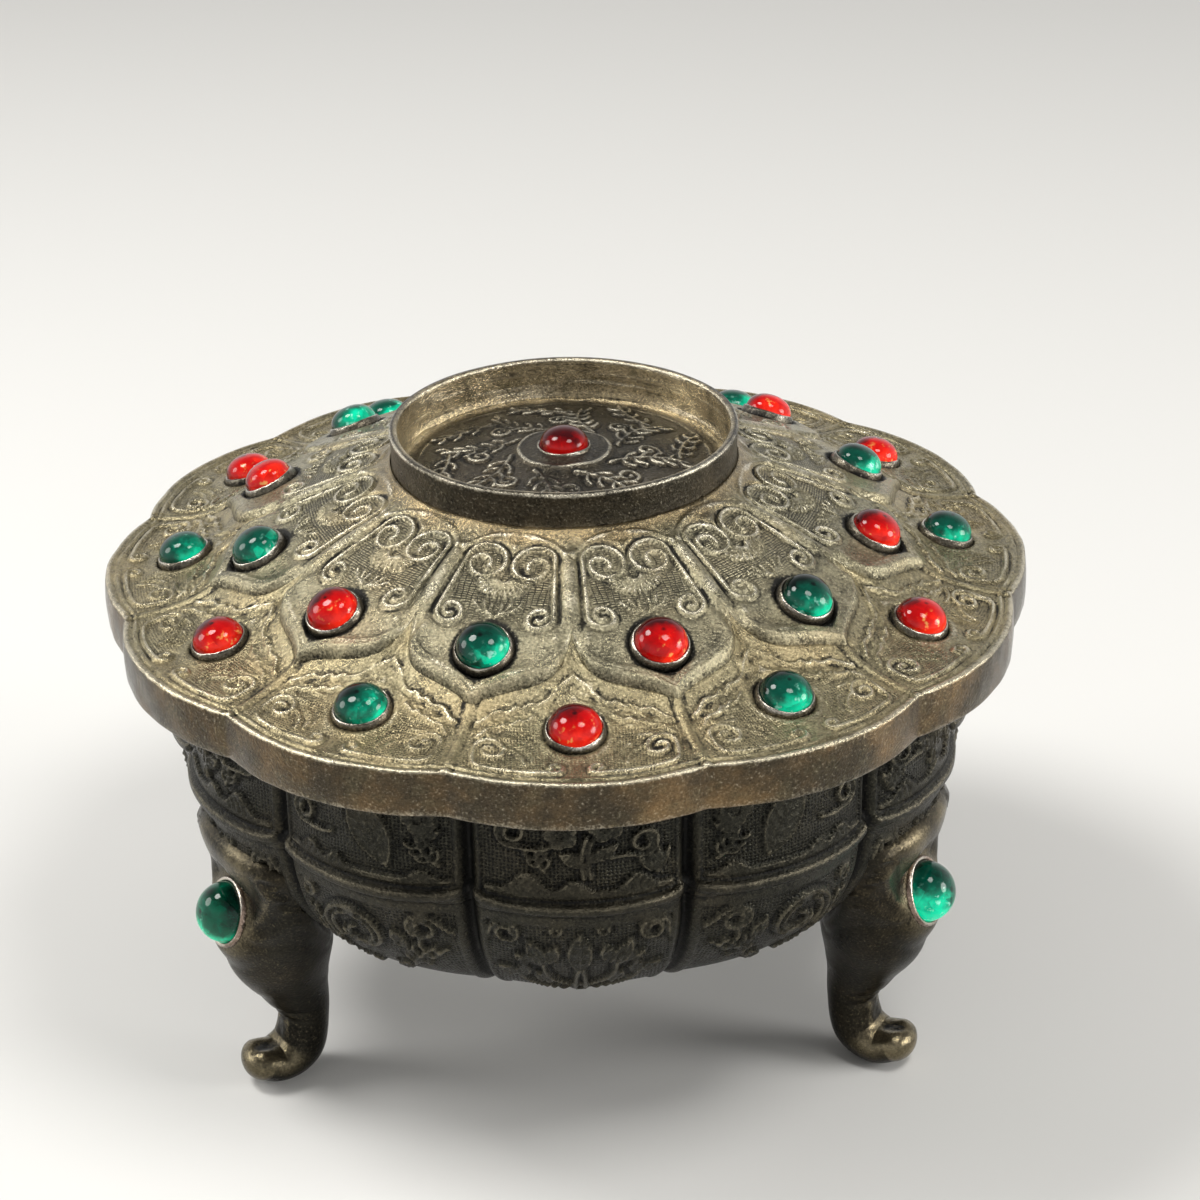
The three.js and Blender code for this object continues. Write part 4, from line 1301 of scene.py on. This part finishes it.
def turnedPiece(name, profile, columns, seat, wobble, seed, layers):
    # a profile of (radius, height) turned about the seat's axis, its upper part a little uneven
    profile = np.array(profile, float)
    angle = circle(columns)
    spots = polar(cup["wobbleRadius"], angle, 0)
    lifted = smooth(0.5, 1.2, profile[:, 1:2])
    rise = profile[:, 1:2] + wobble * ripple(spots, 6, seed) * lifted
    reach = profile[:, :1] + 0.8 * wobble * ripple(spots, 7, seed + 50) * lifted
    rows = polar(reach, angle, rise)
    poles = seated(np.array([[0, 0, profile[0, 1]], [0, 0, profile[-1, 1] + 0.02]]), seat)
    return skin(name, seated(rows, seat), poles, layers)


def gemProfile(radius, dome, base):
    # flat back, short girdle and a full round dome
    profile = [[radius * 0.5, base], [radius * 0.93, base], [radius, base + 0.25]]
    for t in np.linspace(0, math.pi / 2, 16)[:-1]:
        profile.append([radius * math.cos(t) ** 0.92, base + stone["girdle"] + dome * math.sin(t)])
    return profile


def gemGlow(profile, columns, lean):
    # painted light of a stone: brighter on the side that lies down the slope, fading at its crown and its
    # girdle
    profile = np.array(profile)
    angle = circle(columns)
    reach = profile[:, :1] / profile[:, 0].max()
    rise = (profile[:, 1:2] - profile[0, 1]) / np.ptp(profile[:, 1])
    return 0.48 + 0.5 * reach * np.cos(angle + lean) - 0.14 * rise


def cupProfile(bore, outside, low, lip, floor):
    # outside wall with a soft foot, a thin lip pressed over the stone, and the floor under it
    return [[outside * 0.5, low], [outside, low], [outside, low + 0.7], [outside - 0.12, lip - 0.6],
            [outside - 0.3, lip - 0.16], [outside - 0.48, lip], [bore + 0.22, lip], [bore, lip - 0.12],
            [bore, lip - 0.4], [bore, floor + 0.15], [bore - 0.15, floor], [bore * 0.5, floor]]


# level of each row of cupProfile: rubbed bright on the lip, and painted shade down the wall to its foot and
# inside under the stone
cupWearAndShade = np.array([-0.6, -0.7, -0.5, -0.1, 0.3, 0.9, 0.9, 0.1, -0.6, -0.6, -0.6, -0.6])[:, None]
glasses = {"green_glass": greenGlass, "red_glass": redGlass}


def makeCup(name, seat, size, wobble, seed, zone):
    # a bezel cup, with uneven rubbing round its lip
    spots = polar(cup["wobbleRadius"], circle(cup["columns"]), 0)
    rubbing = cupWearAndShade + 0.6 * ripple(spots, 6, seed + 90)
    layers = {"relief": rubbing, "zone": zone + 0 * rubbing}
    return turnedPiece(name + "_cup", cupProfile(**size), cup["columns"], seat, wobble, seed, layers)


def setStone(name, seat, size, lean, body, slot, lift=0.0):
    # a stone, with its painted light turned by lean and brighter by lift
    profile = gemProfile(**size)
    layers = {"glow": gemGlow(profile, stone["columns"], lean) + lift}
    gem = turnedPiece(name + "_cabochon", profile, stone["columns"], seat, 0.0, 0, layers)
    place(gem, body, slot, glasses[slot], name + "_gem")


def setGem(name, seat, angle, slot, seed, lift=0.0):
    # a stone of the lid in its cup
    bezel = makeCup(name, seat, lidCup, wobble=0.15, seed=seed, zone=0)
    place(bezel, "lid", "bezel_metal", bezelMetal, name + "_bezel")
    setStone(name, seat, lidStone, lean=angle + 1.0, body="lid", slot=slot, lift=lift)


def slopeSeat(radius, angle, height):
    # a seat square to a slope of the lid
    slope = math.atan2(float(height(radius + 0.3) - height(radius - 0.3)), 0.6)
    return seatFrame(radius, angle, float(height(radius)), -slope)


# each ring of petals: radius of its stones, its slope, how far ahead it starts and its first seed
petalRings = {
    "inner_petal": (innerGem, innerHeight, halfLobe, 100),
    "outer_petal": (outerGem, outerHeight, 0.0, 200),
}
for k in range(lobeCount):
    slot = ("green_glass", "red_glass")[k % 2]
    for name, (radius, height, ahead, seed) in petalRings.items():
        angle = k * lobeAngle + ahead
        setGem(f"{name}_{k + 1:02d}", slopeSeat(radius, angle, height), angle, slot, seed + k)
medallionSeat = seatFrame(0, 0, nodeBox("medallion_bezel")[0][2] - lidCup["low"], 0)
setGem("medallion", medallionSeat, angle=0.5, slot="red_glass", seed=300, lift=-0.4)
for k, (name, angle) in enumerate(legPlaces.items()):
    seat = seatFrame(0, angle, 0, 0) @ legSeat
    bezel = makeCup(name, seat, legCup, wobble=0.12, seed=400 + k, zone=1)
    place(bezel, "bowl", "leg_bronze", bezelMetal)
    setStone(name, seat, legStone, lean=0.6, body="bowl", slot="green_glass", lift=0.24)
print("gems done")

# Floor, light and camera

studio = {"floorRadius": 1.15, "floorSides": 96, "worldLevel": 0.32, "sweep": (0.25, 0.8), "overhead": 0.3}
lamps = {
    "ceilingLeft": {"spot": (-0.42, 0.06, 0.8), "aim": 0.08, "size": 0.3, "power": 4.0},
    "ceilingRight": {"spot": (0.28, -0.26, 0.86), "aim": 0.08, "size": 0.3, "power": 2.8},
    "sideLeft": {"spot": (-1.05, 0.12, 0.56), "aim": 0.06, "size": 0.5, "power": 4.4},
    "sideRight": {"spot": (1.25, -0.26, 0.38), "aim": 0.05, "size": 0.6, "power": 10.5},
}


def makeFloor():
    mesh = bpy.data.meshes.new("floor")
    edge = polar(studio["floorRadius"], circle(studio["floorSides"]), 0)
    mesh.from_pydata(edge.tolist(), [], [list(range(len(edge)))])
    made, _, shader = newMaterial("paleFloor")
    feed(shader, Base_Color=srgb(230, 230, 228), Roughness=0.9, Specular_IOR_Level=0.1)
    mesh.materials.append(made)
    floor = addObject("floor", mesh)


def makeWorld():
    # a sweep from white at the horizon to grey overhead, to the camera, in reflections and through glass;
    # a softer level for light
    world = bpy.data.worlds.new("studio")
    bpy.context.scene.world = world
    world.use_nodes = True
    tree = world.node_tree
    tree.nodes.clear()
    path = addNode(tree, "ShaderNodeLightPath").outputs
    seen = mathNode(tree, "MAXIMUM", path["Is Camera Ray"], path["Is Glossy Ray"])
    seen = mathNode(tree, "MAXIMUM", seen, path["Is Transmission Ray"])
    ray = addNode(tree, "ShaderNodeTexCoord").outputs["Generated"]
    height = addNode(tree, "ShaderNodeSeparateXYZ", Vector=ray).outputs["Z"]
    level = ramp(tree, height, *studio["sweep"], 1.0, studio["overhead"])
    sweep = addNode(tree, "ShaderNodeBackground", Color=(1, 1, 1, 1), Strength=level)
    soft = addNode(tree, "ShaderNodeBackground", Color=(1, 0.985, 0.96, 1), Strength=studio["worldLevel"])
    blend = addNode(tree, "ShaderNodeMixShader")
    for socket, value in zip(blend.inputs, (seen, soft.outputs[0], sweep.outputs[0])):
        plug(socket, value)
    addNode(tree, "ShaderNodeOutputWorld", Surface=blend.outputs[0])


def addLamp(name, spot, aim, size, power):
    # a round lamp that is aimed at a height on the burner's axis
    lamp = bpy.data.lights.new(name, "AREA")
    lamp.shape = "DISK"
    lamp.size = size
    lamp.energy = power
    lamp.color = (1.0, 0.98, 0.95)
    made = addObject(name, lamp)
    made.location = spot
    made.rotation_euler = (Vector((0, 0, aim)) - Vector(spot)).to_track_quat("-Z", "Y").to_euler()


makeFloor()
makeWorld()
for name, lamp in lamps.items():
    addLamp(name, **lamp)

# the camera of the photo: lens, sensor and place in millimetres, near limit in metres, angles in degrees
view = {
    "lens": 87.39,
    "sensor": 36,
    "near": 0.01,
    "place": (-4.18, -429.18, 289.15),
    "turn": -1.27,
    "pitch": 63.21,
    "roll": -1.027,
}
camera = bpy.data.cameras.new("photoCamera")
camera.lens = view["lens"]
camera.sensor_width = view["sensor"]
camera.clip_start = view["near"]
cameraObject = addObject("photoCamera", camera)
turn, pitch, roll = (math.radians(view[name]) for name in ("turn", "pitch", "roll"))
aim = Matrix.Rotation(turn, 4, "Z") @ Matrix.Rotation(pitch, 4, "X") @ Matrix.Rotation(roll, 4, "Z")
cameraObject.matrix_world = Matrix.Translation(Vector(view["place"]) * mm) @ aim
bpy.context.scene.camera = cameraObject
bpy.context.scene.view_settings.view_transform = "Standard"
